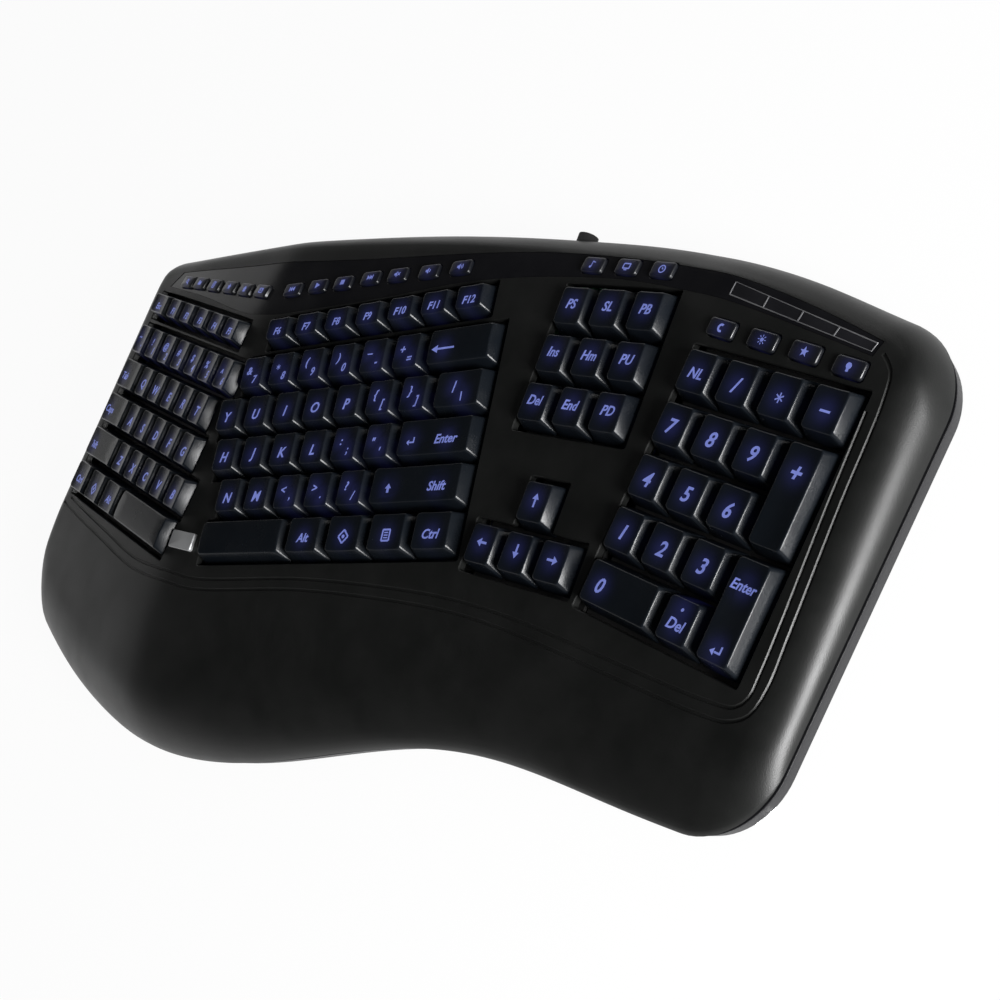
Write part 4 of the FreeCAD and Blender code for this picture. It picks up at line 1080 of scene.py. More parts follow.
def solve_nodes(name: str, tree: bpy.types.NodeTree, points: Sequence[Vector], values: dict,
                matrix: Matrix | None = None) -> Thing:
    """Run a node tree on loose points and keep its result as a plain mesh.

    Args:
        name: Name of the new object.
        tree: The geometry node tree, whose first input is its geometry.
        points: Points in millimetres.
        values: Value of each named input.
        matrix: Placement in the layout, or None where the points are layout points.

    Returns:
        The new object, in the frame.
    """
    mesh = bpy.data.meshes.new(name + "_points")
    mesh.from_pydata([p * MM for p in points], [], [])
    source = linked(name + "_source", mesh)
    modifier = source.modifiers.new("rule", "NODES")
    modifier.node_group = tree
    for item in tree.interface.items_tree:
        if item.item_type == "SOCKET" and item.in_out == "INPUT" and item.name in values:
            modifier[item.identifier] = values[item.name]
    result = plain_copy(source, name)
    move = Matrix.Translation(ORIGIN * -MM)
    if matrix is not None:
        metric = matrix.copy()
        metric.translation = matrix.translation * MM
        move = move @ metric
    result.data.transform(move)
    return result


class Repeater:
    """Shared steps of the node trees that repeat a small shape on points."""

    def __init__(self, name: str, sizes: dict[str, float]) -> None:
        """Make the tree with a geometry input, its sizes in metres and a material.

        Args:
            name: Name of the tree.
            sizes: Named sizes.
        """
        number = "NodeSocketFloat"
        inputs = {"Geometry": ("NodeSocketGeometry", None)}
        inputs.update({size: (number, value) for size, value in sizes.items()})
        inputs["Material"] = ("NodeSocketMaterial", None)
        self.build, self.given, self.out = new_group("GeometryNodeTree", name, inputs,
                                                     {"Geometry": "NodeSocketGeometry"})

    def size(self, name: str) -> Socket:
        """The socket of a named input."""
        return self.given.outputs[name]

    def vector(self, x, y, z) -> Socket:
        """Join three numbers or sockets."""
        return self.build.add("ShaderNodeCombineXYZ", {0: x, 1: y, 2: z}).outputs[0]

    def cylinder(self, radius, depth, sides: int, rise) -> Socket:
        """A cylinder along Z, moved up."""
        sizes = {"Vertices": sides, "Radius": radius, "Depth": depth}
        made = self.build.add("GeometryNodeMeshCylinder", sizes).outputs["Mesh"]
        moved = {"Geometry": made, "Translation": self.vector(0, 0, rise)}
        return self.build.add("GeometryNodeTransform", moved).outputs[0]

    def joined(self, *parts) -> Socket:
        """Several geometries as one."""
        join = self.build.add("GeometryNodeJoinGeometry")
        for part in parts:
            self.build.link(part, join.inputs[0])
        return join.outputs[0]

    def spread(self, points, shape) -> Socket:
        """The shape on each point, realized."""
        copies = self.build.add("GeometryNodeInstanceOnPoints", {"Points": points, "Instance": shape})
        return self.build.add("GeometryNodeRealizeInstances", {0: copies.outputs[0]}).outputs[0]

    def finish(self, shape) -> bpy.types.NodeTree:
        """Put the shape on the tree's points and set its material."""
        copies = self.spread(self.size("Geometry"), shape)
        dressed = self.build.add("GeometryNodeSetMaterial",
                                 {"Geometry": copies, "Material": self.size("Material")})
        self.build.link(dressed.outputs[0], self.out.inputs[0])
        return self.build.tree


def screw_tree() -> bpy.types.NodeTree:
    """Screws with a round head below and a cross recess in it."""
    rule = Repeater("case_screw_rule", {"Head Radius": 0.0028, "Head Height": 0.002, "Shank Radius": 0.0014,
                                        "Shank Length": 0.0074, "Recess Reach": 0.0019,
                                        "Recess Width": 0.0007, "Recess Depth": 0.0011})
    build = rule.build
    half = build.math("MULTIPLY", rule.size("Head Height"), 0.5)
    head = rule.cylinder(rule.size("Head Radius"), rule.size("Head Height"), 28, half)
    long = build.math("MULTIPLY", rule.size("Recess Reach"), 2.0)
    deep = build.math("MULTIPLY", rule.size("Recess Depth"), 2.0)
    arms = []
    for size in (rule.vector(long, rule.size("Recess Width"), deep),
                 rule.vector(rule.size("Recess Width"), long, deep)):
        arms.append(build.add("GeometryNodeMeshCube", {"Size": size}).outputs["Mesh"])
    cut = build.add("GeometryNodeMeshBoolean", {"Mesh 1": head}, operation="DIFFERENCE", solver="EXACT")
    for arm in arms:
        build.link(arm, cut.inputs["Mesh 2"])
    up = build.math("ADD", rule.size("Head Height"), build.math("MULTIPLY", rule.size("Shank Length"), 0.5))
    shank = rule.cylinder(rule.size("Shank Radius"), rule.size("Shank Length"), 16, up)
    return rule.finish(rule.joined(cut.outputs[0], shank))


def foot_tree() -> bpy.types.NodeTree:
    """Round feet whose lower face carries a hexagonal field of studs."""
    rule = Repeater("rubber_foot_rule", {"Radius": 0.007, "Height": 0.0018, "Stud Pitch": 0.0016,
                                         "Stud Radius": 0.0005, "Stud Height": 0.0003})
    build = rule.build
    body = build.math("SUBTRACT", rule.size("Height"), rule.size("Stud Height"))
    rise = build.math("ADD", rule.size("Stud Height"), build.math("MULTIPLY", body, 0.5))
    plate = rule.cylinder(rule.size("Radius"), body, 48, rise)
    side = build.math("MULTIPLY", rule.size("Radius"), 2.0)
    count = build.math("FLOOR", build.math("DIVIDE", side, rule.size("Stud Pitch")))
    grid = build.add("GeometryNodeMeshGrid", {"Size X": side, "Size Y": side, "Vertices X": count,
                                              "Vertices Y": count}).outputs["Mesh"]
    where = build.add("GeometryNodeInputPosition").outputs[0]
    far = build.add("ShaderNodeVectorMath", {0: where}, operation="LENGTH").outputs["Value"]
    limit = build.math("SUBTRACT", rule.size("Radius"), rule.size("Stud Pitch"))
    outside = build.add("FunctionNodeCompare", {0: far, 1: limit}, operation="GREATER_THAN").outputs[0]
    spots = build.add("GeometryNodeDeleteGeometry", {"Geometry": grid, "Selection": outside}).outputs[0]
    tall = rule.size("Stud Height")
    stud = rule.cylinder(rule.size("Stud Radius"), build.math("MULTIPLY", tall, 2.0), 6, tall)
    return rule.finish(rule.joined(plate, rule.spread(spots, stud)))


def bar_tree() -> bpy.types.NodeTree:
    """Small round-ended bars along X, one on each point."""
    rule = Repeater("raised_bar_rule", {"Length": 0.004, "Radius": 0.0004})
    build = rule.build
    line = build.add("GeometryNodeCurvePrimitiveLine", {
        "Start": rule.vector(build.math("MULTIPLY", rule.size("Length"), -0.5), 0, 0),
        "End": rule.vector(build.math("MULTIPLY", rule.size("Length"), 0.5), 0, 0)})
    ring = build.add("GeometryNodeCurvePrimitiveCircle", {"Resolution": 8, "Radius": rule.size("Radius")})
    bar = build.add("GeometryNodeCurveToMesh", {"Curve": line.outputs[0], "Profile Curve": ring.outputs[0],
                                                "Fill Caps": True})
    return rule.finish(bar.outputs[0])


# Case

@dataclass
class TopCase:
    """Top shell with its key openings, grooves and strip recess.

    Attributes:
        spacing: Distance between mesh lines on the deck.
        roll_steps: Mesh steps over each rolled edge.
        window_margin: Room around the keys.
        window_low: Lower end of the window cut, over the key tops.
        strip_recess: Depth of the recess under the media strip.
        groove: Half width at the top and at the bottom of a groove, and its depth.
        groove_step: How far the inner groove lies behind the outer one.
        groove_turn: Where the outer groove turns up along the right side.
        inner_turn: Where the inner groove turns.
        badge_centre: Middle of the plain plate.
        badge_size: Its sides.
        gland: Place, height and radius of the cable outlet's bore.
    """

    spacing: float = 2.7
    roll_steps: int = 9
    window_margin: float = 0.9
    window_low: float = -8.5
    strip_recess: float = 1.2
    groove: Point3 = (0.75, 0.35, 0.5)
    groove_step: float = 4.6
    groove_turn: tuple[Point2, ...] = (
        (301.5, -68.9), (312, -68.9), (319.5, -65.5), (323.2, -57), (325.4, -40), (329.8, 0), (334.2, 34),
        (333.6, 43), (329, 48.5))
    inner_turn: tuple[Point2, ...] = (
        (313.5, -64.2), (317.6, -60.5), (319.2, -53), (321, -40), (325.4, 0), (329.3, 30))
    badge_centre: Point2 = (4.4, -56.2)
    badge_size: Point2 = (19.0, 8.0)
    gland: Point3 = (167.0, 15.3, 4.0)

    def lines(self, low: float, high: float, roll_low: float, roll_high: float | None = None) -> list[float]:
        """Places of mesh lines from one edge to the other, closer on the rolled edges."""
        shares = [1 - math.cos(math.pi / 2 / self.roll_steps * i) for i in range(self.roll_steps + 1)]
        first = [low + roll_low * share for share in shares]
        last = [high - (roll_high or roll_low) * share for share in shares]
        count = round((last[-1] - first[-1]) / self.spacing)
        middle = [first[-1] + (last[-1] - first[-1]) * i / count for i in range(1, count)]
        return first + middle + list(reversed(last))

    def grid(self, inset: float) -> list[list[Vector]]:
        """Points of the surface moved inwards, as lines from front to back."""
        s, depth = SHAPE, 200
        side = s.side_roll - inset
        across = self.lines(s.left_edge + inset, s.right_edge - inset, side)
        rows = self.lines(0, depth, s.front_roll, s.back_roll)
        shares = [r for r in rows if s.front_roll <= r <= depth - s.back_roll]
        grid = []
        for place_s in across:
            front, back = s.front_y(place_s, inset), s.back_y(place_s, inset)
            start, end = front + s.front_roll - inset, back - s.back_roll + inset
            line = []
            for r in rows:
                if r < s.front_roll:
                    y = front + r * (s.front_roll - inset) / s.front_roll
                elif r > depth - s.back_roll:
                    y = back - (depth - r) * (s.back_roll - inset) / s.back_roll
                else:
                    y = start + (end - start) * (r - shares[0]) / (shares[-1] - shares[0])
                x = place_s + s.lean * y
                line.append(Vector((x, y, s.height(x, y, inset))))
            for end_row in (0, -1):
                line[end_row].z = SEAM_Z
            grid.append(line)
        for end_line in (grid[0], grid[-1]):
            for point in end_line:
                point.z = SEAM_Z
        return grid

    def shell(self) -> Skin:
        """Closed shell between the outer and the inner surface."""
        skin = Skin()
        outer = skin.sheet(self.grid(0.0), True)
        inner = skin.sheet(self.grid(SHAPE.wall), False)
        skin.bridge(inner, outer)
        return skin

    def strip_points(self, u: float, v: float, gap: float = 0.0) -> Point2:
        """Point of the strip's area, u along it and v from front to back."""
        s = SHAPE
        front_x = s.strip_front_points[0][0] + 3 * gap
        front_x += (s.strip_front_points[-1][0] - gap - front_x) * u
        back_x = s.strip_back_points[0][0] + gap
        back_x += (s.strip_back_points[-1][0] - gap - back_x) * u
        front_y, back_y = s.strip_front(front_x) + gap, s.strip_back(back_x) - gap
        return front_x + (back_x - front_x) * v, front_y + (back_y - front_y) * v

    def strip_solid(self, skin: Skin, low: Callable, high: Callable, gap: float,
                    steps: tuple[int, int]) -> None:
        """Add a closed solid over the strip's area between two heights.

        Args:
            skin: The mesh.
            low: Height rule of its underside.
            high: Height rule of its top.
            gap: How far it stands in from the area's edges.
            steps: Steps along and across.
        """
        along, across = steps
        flat = [[self.strip_points(i / along, j / across, gap) for j in range(across + 1)]
                for i in range(along + 1)]
        borders = [skin.sheet([[Vector((x, y, height(x, y))) for x, y in line] for line in flat], upward)
                   for height, upward in ((low, False), (high, True))]
        skin.bridge(*borders)

    def groove_solid(self, skin: Skin, points: Sequence[Point2]) -> None:
        """Add the solid that cuts one groove along a smooth line."""
        path = smooth_path(points, 3.0)
        wide, narrow, depth = self.groove
        section = [(-narrow, -depth), (narrow, -depth), (wide, 0.05), (wide, 1.5), (-wide, 1.5),
                   (-wide, 0.05)]
        rings = []
        for i, (x, y) in enumerate(path):
            ahead = Vector(path[min(i + 1, len(path) - 1)]) - Vector(path[max(i - 1, 0)])
            side = Vector((ahead.y, -ahead.x)).normalized()
            base = SHAPE.height(x, y)
            rings.append([Vector((x + side.x * a, y + side.y * a, base + lift)) for a, lift in section])
        skin.stack(list(reversed(rings)))

    def build(self) -> Thing:
        """Make the shell and cut its openings."""
        shell = self.shell().thing("top_shell_skin", CASE_BLACK.make())
        banks = windows_object("bank_cut", (
            Window(Outline.from_corners(corners, 0.9), BANKS[bank].matrix, self.window_low)
            for bank in BANKS for corners in bank_windows(bank, self.window_margin)))
        strip = Skin()
        self.strip_solid(strip, lambda x, y: SHAPE.height(x, y) - self.strip_recess,
                         lambda x, y: SHAPE.height(x, y) + 6.0, 0.0, (150, 8))
        keys = windows_object("hot_cut", (window for group in HOT_GROUPS.values()
                                          for window in group.windows(-9.0)))
        grooves = Skin()
        self.groove_solid(grooves, SHAPE.palm_points[:-2] + self.groove_turn)
        inner = [(x, y + self.groove_step) for x, y in SHAPE.palm_points[1:-2]]
        inner.append((SHAPE.palm_points[-2][0], SHAPE.palm_points[-2][1] + self.groove_step))
        self.groove_solid(grooves, inner + list(self.inner_turn))
        pockets = Skin()
        self.badge_window().add_to(pockets)
        x, z, radius = self.gland
        wall = SHAPE.back_y(x - SHAPE.lean * 95)
        turns = [math.radians(9 * i) for i in range(40)]
        pockets.stack([[Vector((x + radius * math.cos(a), y, z - radius * math.sin(a))) for a in turns]
                       for y in (wall - 12, wall + 10)])
        lens = Skin()
        LENS.solid(lens, 0.1, -12.0, 8.0)
        return carve(shell, banks, strip.thing("strip_cut"), keys, grooves.thing("groove_cut"),
                     pockets.thing("pocket_cut"), lens.thing("lens_cut"))

    def badge_window(self) -> Window:
        """Pocket of the plain plate on the ridge."""
        half = [v / 2 + 0.1 for v in self.badge_size]
        x, y = self.badge_centre
        plane = WorkPlane((x, y, SHAPE.height(x, y)), 0, 0, SHAPE.tilt)
        return Window(Outline.from_corners(rectangle(0, 0, *half), 0.6), plane.matrix, -0.9, 0.1)


def smooth_path(points: Sequence[Point2], step: float) -> list[Point2]:
    """Points along a smooth line through a few points (Catmull-Rom, by chord length).

    Args:
        points: The points to pass.
        step: Distance between the result's points.

    Returns:
        The denser line.
    """
    dense: list[Point2] = []
    ends = [tuple(2 * a - b for a, b in zip(points[0], points[1]))]
    tail = [tuple(2 * a - b for a, b in zip(points[-1], points[-2]))]
    padded = [Vector(p) for p in ends + list(points) + tail]
    for p0, p1, p2, p3 in zip(padded, padded[1:], padded[2:], padded[3:]):
        gaps = [max((b - a).length, 1e-6) ** 0.5 for a, b in ((p0, p1), (p1, p2), (p2, p3))]
        count = max(1, round((p2 - p1).length / step))
        slope1 = ((p1 - p0) / gaps[0] - (p2 - p0) / (gaps[0] + gaps[1]) + (p2 - p1) / gaps[1]) * gaps[1]
        slope2 = ((p2 - p1) / gaps[1] - (p3 - p1) / (gaps[1] + gaps[2]) + (p3 - p2) / gaps[2]) * gaps[1]
        for i in range(count):
            t = i / count
            a, b = 2 * t ** 3 - 3 * t * t + 1, t ** 3 - 2 * t * t + t
            c, d = -2 * t ** 3 + 3 * t * t, t ** 3 - t * t
            dense.append(tuple(p1 * a + slope1 * b + p2 * c + slope2 * d))
    dense.append(tuple(points[-1]))
    return dense


@dataclass(frozen=True)
class HotGroup:
    """A group of small keys.

    Attributes:
        centres: Key centres in the layout.
        width: Width of a key.
        yaw: Turn of the group.
        marks: Sign of each key.
        depth: Depth of a key from front to back.
        proud: How far a key stands over the surface.
        flange: Top and underside of the flange around a key's foot, and its width.
        gap: Room around a key in its opening.
    """

    centres: tuple[Point2, ...]
    width: float
    yaw: float
    marks: tuple[Mark, ...]
    depth: float = 6.3
    proud: float = 1.2
    flange: Point3 = (-3.6, -4.6, 0.9)
    gap: float = 0.4

    @property
    def matrix(self) -> Matrix:
        """Placement of the group's plane, flat on the surface."""
        x = sum(p[0] for p in self.centres) / len(self.centres)
        y = sum(p[1] for p in self.centres) / len(self.centres)
        step = 4.0
        front = SHAPE.front_y(x)

        def z(dx: float, dy: float) -> float:
            """Height of the case beside the middle."""
            return SHAPE.case_z(x + dx, y + dy, front)

        rise_x = (z(step, 0) - z(-step, 0)) / (2 * step)
        rise_y = (z(0, step) - z(0, -step)) / (2 * step)
        return WorkPlane((x, y, z(0, 0)), self.yaw, rise_x, rise_y).matrix

    def spots(self) -> list[Vector]:
        """Key centres on the plane, with the surface's height over it."""
        inverse = self.matrix.inverted()
        return [inverse @ Vector((x, y, SHAPE.case_z(x, y, SHAPE.front_y(x)))) for x, y in self.centres]

    def windows(self, low: float) -> Iterable[Window]:
        """Openings around the keys, cut down to a height on the plane."""
        for spot in self.spots():
            corners = rectangle(spot.x, spot.y, self.width / 2 + self.gap, self.depth / 2 + self.gap)
            yield Window(Outline.from_corners(corners, 1.4), self.matrix, low, 0.25)


HOT_GROUPS = {
    "left_hot_keys": HotGroup(
        ((-96.3, 72.6), (-80.8, 71.1), (-63.4, 69.1), (-45.3, 67.2), (-27.8, 65.2), (-10.5, 63.7)),
        12.5, -6.0,
        (Mark.SEARCH, Mark.FOLDER, Mark.SHEET, Mark.STAR, Mark.HOME, Mark.LETTER)),
    "middle_hot_keys": HotGroup(
        ((15.0, 64.3), (32.0, 66.6), (48.4, 68.6), (65.3, 71.4), (82.0, 73.3), (100.8, 75.2), (118.7, 77.5)),
        11.0, 7.0,
        (Mark.BACK, Mark.PLAY, Mark.STOP, Mark.NEXT, Mark.QUIET, Mark.SPEAKER, Mark.LOUD)),
    "right_hot_keys": HotGroup(((189.7, 79.8), (207.6, 78.9), (225.4, 77.6)), 10.8, -4.0,
                               (Mark.NOTE, Mark.SCREEN, Mark.CLOCK)),
    "pad_hot_keys": HotGroup(((263.2, 55.1), (282.2, 51.3), (300.6, 47.7), (319.0, 43.3)), 12.2, -12.0,
                             (Mark.MOON, Mark.SUN, Mark.STAR, Mark.BULB)),
}


@dataclass(frozen=True)
class IndicatorLens:
    """Long narrow lens over the status lights, with a pale rim and four fields.

    Attributes:
        corners: Layout corners, counter-clockwise from the front left.
        sink: Depth of its face under the case surface.
        low: Depth of its underside.
        rim: Width of the pale rim.
        divider: Width of a divider, as a share of the length.
    """

    corners: tuple[Point2, ...] = ((260.5, 67.6), (324.6, 48.9), (325.8, 52.3), (261.0, 73.0))
    sink: float = 0.3
    low: float = 1.2
    rim: float = 0.45
    divider: float = 0.006

    def at(self, u: float, v: float, gap: float = 0.0) -> Point2:
        """Point of the lens area, u along it and v from front to back."""
        (x0, y0), (x1, y1), (x2, y2), (x3, y3) = self.corners
        x0, x1, x2, x3 = x0 + gap, x1 - gap, x2 - gap, x3 + gap
        y0, y1, y2, y3 = y0 + gap, y1 + gap, y2 - gap, y3 - gap
        front = Vector((x0 + (x1 - x0) * u, y0 + (y1 - y0) * u))
        back = Vector((x3 + (x2 - x3) * u, y3 + (y2 - y3) * u))
        return tuple(front.lerp(back, v))

    def ring(self, gap: float, lift: float) -> list[Vector]:
        """Outline inset by gap at a lift over the surface."""
        long, short = ([i / parts for i in range(parts)] for parts in (24, 4))
        ways = [(t, 0.0) for t in long] + [(1.0, t) for t in short]
        ways += [(1 - t, 1.0) for t in long] + [(0.0, 1 - t) for t in short]
        return [SHAPE.on(*self.at(u, v, gap), lift) for u, v in ways]

    def solid(self, skin: Skin, gap: float, low: float, high: float) -> None:
        """Add the closed solid over the lens area."""
        skin.stack([self.ring(gap, low), self.ring(gap, high)])

    def build(self) -> list[Thing]:
        """Make the smoked lens, and its rim with three dividers."""
        lens, rim = Skin(), Skin()
        edge, face = self.rim, -self.sink
        lens.stack([self.ring(0.1, -self.low), self.ring(0.1, face - 0.1), self.ring(0.2, face),
                    self.ring(edge, face + 0.02)])
        shape = [(0.12, face - 0.2), (0.12, face + 0.16), (0.2, face + 0.24), (edge - 0.08, face + 0.24),
                 (edge, face + 0.16), (edge, face - 0.2)]
        rim.bridges([rim.ring(self.ring(gap, lift)) for gap, lift in shape], True)
        for share in (0.25, 0.5, 0.75):
            end = share + self.divider
            quad = [self.at(u, v, edge * 0.8) for u, v in ((share, 0), (end, 0), (end, 1), (share, 1))]
            rim.stack([[SHAPE.on(x, y, lift - self.sink) for x, y in quad] for lift in (-0.1, 0.2)])
        return [lens.thing("indicator_lens_glass", LENS_SMOKE.make()),
                rim.thing("indicator_lens_rim", LENS_RIM.make())]


LENS = IndicatorLens()


@dataclass
class MediaStrip:
    """Glossy strip along the back with the openings of three groups of small keys.

    Attributes:
        top_case: The shell it lies in.
        gap: Room around it in its recess.
        sink: Depth of its face under the case surface.
        recess: Depth of its underside.
    """

    top_case: TopCase
    gap: float = 0.15
    sink: float = 0.2
    recess: float = 1.2

    def build(self) -> Thing:
        """Make the strip and cut its openings."""
        skin = Skin()
        self.top_case.strip_solid(skin, lambda x, y: SHAPE.height(x, y) - self.recess,
                                  lambda x, y: SHAPE.height(x, y) - self.sink, self.gap, (220, 10))
        strip = skin.thing("media_strip_face", STRIP_BLACK.make())
        names = ("left_hot_keys", "middle_hot_keys", "right_hot_keys")
        keys = windows_object("strip_key_cut", (window for name in names
                                                for window in HOT_GROUPS[name].windows(-6.0)))
        lens = Skin()
        LENS.solid(lens, 0.0, -4.0, 4.0)
        return carve(strip, keys, lens.thing("strip_lens_cut"))


@dataclass
class BadgePlate:
    """Plain brushed plate on the ridge, with rounded edges.

    Attributes:
        top_case: The shell it lies in.
        proud: How far it stands over the surface.
        sunk: Depth of its underside.
        bevel: Radius of its top edge.
        corner: Radius of its corners.
    """

    top_case: TopCase
    proud: float = 1.0
    sunk: float = 0.9
    bevel: float = 0.5
    corner: float = 1.1

    def build(self) -> Thing:
        """Make the plate."""
        x, y = self.top_case.badge_centre
        matrix = WorkPlane((x, y, SHAPE.case_z(x, y, SHAPE.front_y(x))), 0, 0, SHAPE.tilt).matrix
        half_x, half_y = (v / 2 for v in self.top_case.badge_size)
        skin = Skin()
        rings = []
        steps = [(0.0, -self.sunk), (0.0, self.proud - self.bevel)] + edge_steps(self.bevel, self.proud)
        for inset, z in steps:
            flat = rounded_rectangle(-half_x + inset, half_x - inset, -half_y + inset, half_y - inset,
                                     max(0.5, self.corner - inset), 4)
            rings.append(raised(matrix, flat, z))
        skin.stack(rings)
        return skin.thing("badge_plate_face", BADGE_SILVER.make())


@dataclass
class BaseCase:
    """Bottom shell, feet, screws, tilt legs and cable outlet.

    Attributes:
        screw_spots: Place of each screw.
        foot_spots: Place of each foot.
        leg_spots: Place of each tilt leg's hinge.
        screw_low: Height of the screw heads' underside.
        leg_length: Length of a leg.
        leg_low: Height of a folded leg's underside.
        ribs: Number of ribs under a leg, the first one's distance from its end, and their step.
        band: Inset and height of the rings of the smooth band around the shell.
    """

    screw_spots: tuple[Point2, ...] = (
        (-112, -71), (-40, -90), (60, -88), (150, -72), (240, -75), (308, -79), (-133, 78), (-3, 85.5),
        (138, 89), (246, 66), (334, 10))
    foot_spots: tuple[Point2, ...] = (
        (-136, -76), (-30, -118), (95, -112), (318, -87), (-132, 50), (60, 84), (196, 80), (322, 34))
    leg_spots: dict[str, Point2] = field(default_factory=lambda: {"left_leg": (-100.0, 78.0),
                                                                  "right_leg": (270.0, 66.0)})
    screw_low: float = 6.0
    leg_length: float = 23.0
    leg_low: float = 1.6
    ribs: tuple[int, float, float] = (6, 3.5, 1.4)
    band: tuple[Point2, ...] = ((2.53, 1.1), (2.33, 1.3), (0.83, 6.95), (0.98, 7.1), (1.9, 7.1), (3.4, 1.1))

    def skirt(self) -> Skin:
        """Smooth band over the shell's leaning side."""
        skin = Skin()
        skin.bridges([skin.ring(Vector((x, y, z)) for x, y in SHAPE.outline(inset))
                      for inset, z in self.band], True)
        return skin

    def merged_copy(self, node: str, name: str, finish: Finish) -> Thing:
        """Copy a node's mesh, merge its points and shade it smooth."""
        mesh = frame["nodes"][node].data.copy()
        shape = bmesh.new()
        shape.from_mesh(mesh)
        bmesh.ops.remove_doubles(shape, verts=shape.verts, dist=2e-6)
        shape.to_mesh(mesh)
        shape.free()
        mesh.name = name
        return new_object(name, mesh, finish.make())

    def build(self) -> None:
        """Make every piece and ride it on its body."""
        shell = self.merged_copy("bottom_shell", "bottom_shell_skin", BASE_BLACK)
        settle(shell, "case", "base_black", "bottom_shell")
        settle(self.skirt().thing("bottom_shell_band", BASE_BLACK.make()), "case", "base_black")
        screws = solve_nodes("case_screw_set", screw_tree(),
                             [Vector((x, y, self.screw_low)) for x, y in self.screw_spots],
                             {"Material": SCREW_STEEL.make()})
        settle(screws, "case", "screw_steel", "case_screws")
        feet = solve_nodes("rubber_foot_set", foot_tree(), [Vector((x, y, 0)) for x, y in self.foot_spots],
                           {"Material": RUBBER_BLACK.make()})
        settle(feet, "case", "rubber_black", "rubber_feet")
        bars = bar_tree()
        for name, (x, y) in self.leg_spots.items():
            leg = self.merged_copy(name, name + "_skin", BASE_BLACK)
            settle(leg, name + "_body", "base_black", name)
            count, first, step = self.ribs
            spots = [Vector((x, y - self.leg_length + first + step * i, self.leg_low + 0.1))
                     for i in range(count)]
            ribs = solve_nodes(name + "_ribs", bars, spots,
                               {"Length": 0.016, "Radius": 0.0003, "Material": BASE_BLACK.make()})
            settle(ribs, name + "_body", "base_black")
        gland = self.merged_copy("cable_gland", "cable_gland_skin", RUBBER_BLACK)
        settle(gland, "case", "rubber_black", "cable_gland")


# Signs

class SignWriter:
    """Makes flat lettering and marks, and lays them on key tops.

    Attributes:
        thickness: Height of a sign's body.
        lift: How far its face stands over the key top.
        slant: Lean of the letters.
        weight: How much thicker the strokes are, as a share of the letter size.
        times_share: Half side of the times mark, as a share of the letter size.
    """

    thickness = 0.24
    lift = 0.05
    slant = 0.22
    weight = 0.021
    times_share = 0.24

    def __init__(self) -> None:
        """Start with no drawn signs."""
        self.drawn: dict[tuple, tuple[list[Vector], list[tuple[int, ...]]]] = {}

    def sign(self, what: str | Mark, size: float) -> tuple:
        """Drawing of a word or mark, made once: points and faces of a thin body centred at zero.

        Args:
            what: The word or the mark.
            size: Letter size of a word in millimetres, or half the side of a mark.

        Returns:
            The points and the faces.
        """
        if what == "*":
            what, size = Mark.TIMES, size * self.times_share
        if (what, size) not in self.drawn:
            draw = self.mark if isinstance(what, Mark) else self.text
            self.drawn[what, size] = draw(what, size)
        return self.drawn[what, size]

    def text(self, words: str, size: float) -> tuple:
        """Draw a word."""
        curve = bpy.data.curves.new("sign", "FONT")
        curve.body = words
        curve.size = size
        curve.shear = self.slant
        curve.offset = self.weight * size
        curve.extrude = self.thickness / 2
        curve.resolution_u = 3
        curve.align_x = "CENTER"
        thing = linked("sign", curve)
        mesh = bpy.data.meshes.new_from_object(thing.evaluated_get(bpy.context.evaluated_depsgraph_get()))
        bpy.data.objects.remove(thing)
        bpy.data.curves.remove(curve)
        shape = bmesh.new()
        shape.from_mesh(mesh)
        bpy.data.meshes.remove(mesh)
        bmesh.ops.remove_doubles(shape, verts=shape.verts, dist=0.001)
        shape.verts.index_update()
        points = [v.co.copy() for v in shape.verts]
        faces = [tuple(v.index for v in face.verts) for face in shape.faces]
        shape.free()
        return self.centred(points), faces

    @staticmethod
    def centred(points: list[Vector]) -> list[Vector]:
        """Move points so that the middle of their box is at zero."""
        if not points:
            return points
        middle = Vector([(min(p[k] for p in points) + max(p[k] for p in points)) / 2 for k in range(3)])
        return [p - middle for p in points]

    def mark(self, mark: Mark, size: float) -> tuple:
        """Draw a mark."""
        skin = Skin()
        half = self.thickness / 2
        for outline in MARK_OUTLINES[mark]:
            flat = [(x * size, y * size) for x, y in counter_clockwise(outline)]
            skin.stack([[Vector((x, y, z)) for x, y in flat] for z in (-half, half)])
        return skin.points, skin.faces

    def lay(self, skin: Skin, drawing: tuple, matrix: Matrix, at: Point2,
            top: Callable[[float, float], float]) -> None:
        """Add a drawing to a mesh, wrapped on a key top.

        Args:
            skin: The mesh.
            drawing: Points and faces.
            matrix: Placement of the bank.
            at: Place on the bank's plane.
            top: Height of the key top at a plane point.
        """
        points, faces = drawing
        start = len(skin.points)
        for p in points:
            x, y = at[0] + p.x, at[1] + p.y
            skin.points.append(matrix @ Vector((x, y, top(x, y) + self.lift - self.thickness / 2 + p.z)))
        skin.faces.extend(tuple(start + i for i in face) for face in faces)


def counter_clockwise(outline: list[Point2]) -> list[Point2]:
    """The outline, reversed if it ran clockwise."""
    area = sum(a[0] * b[1] - b[0] * a[1] for a, b in zip(outline, outline[1:] + outline[:1]))
    return outline[::-1] if area < 0 else outline


def bar(x0: float, y0: float, x1: float, y1: float, half: float = 0.14) -> list[Point2]:
    """Outline of a straight stroke between two points."""
    way = Vector((x1 - x0, y1 - y0)).normalized() * half
    side = Vector((-way.y, way.x))
    return [(x0 - side.x, y0 - side.y), (x1 - side.x, y1 - side.y), (x1 + side.x, y1 + side.y),
            (x0 + side.x, y0 + side.y)]


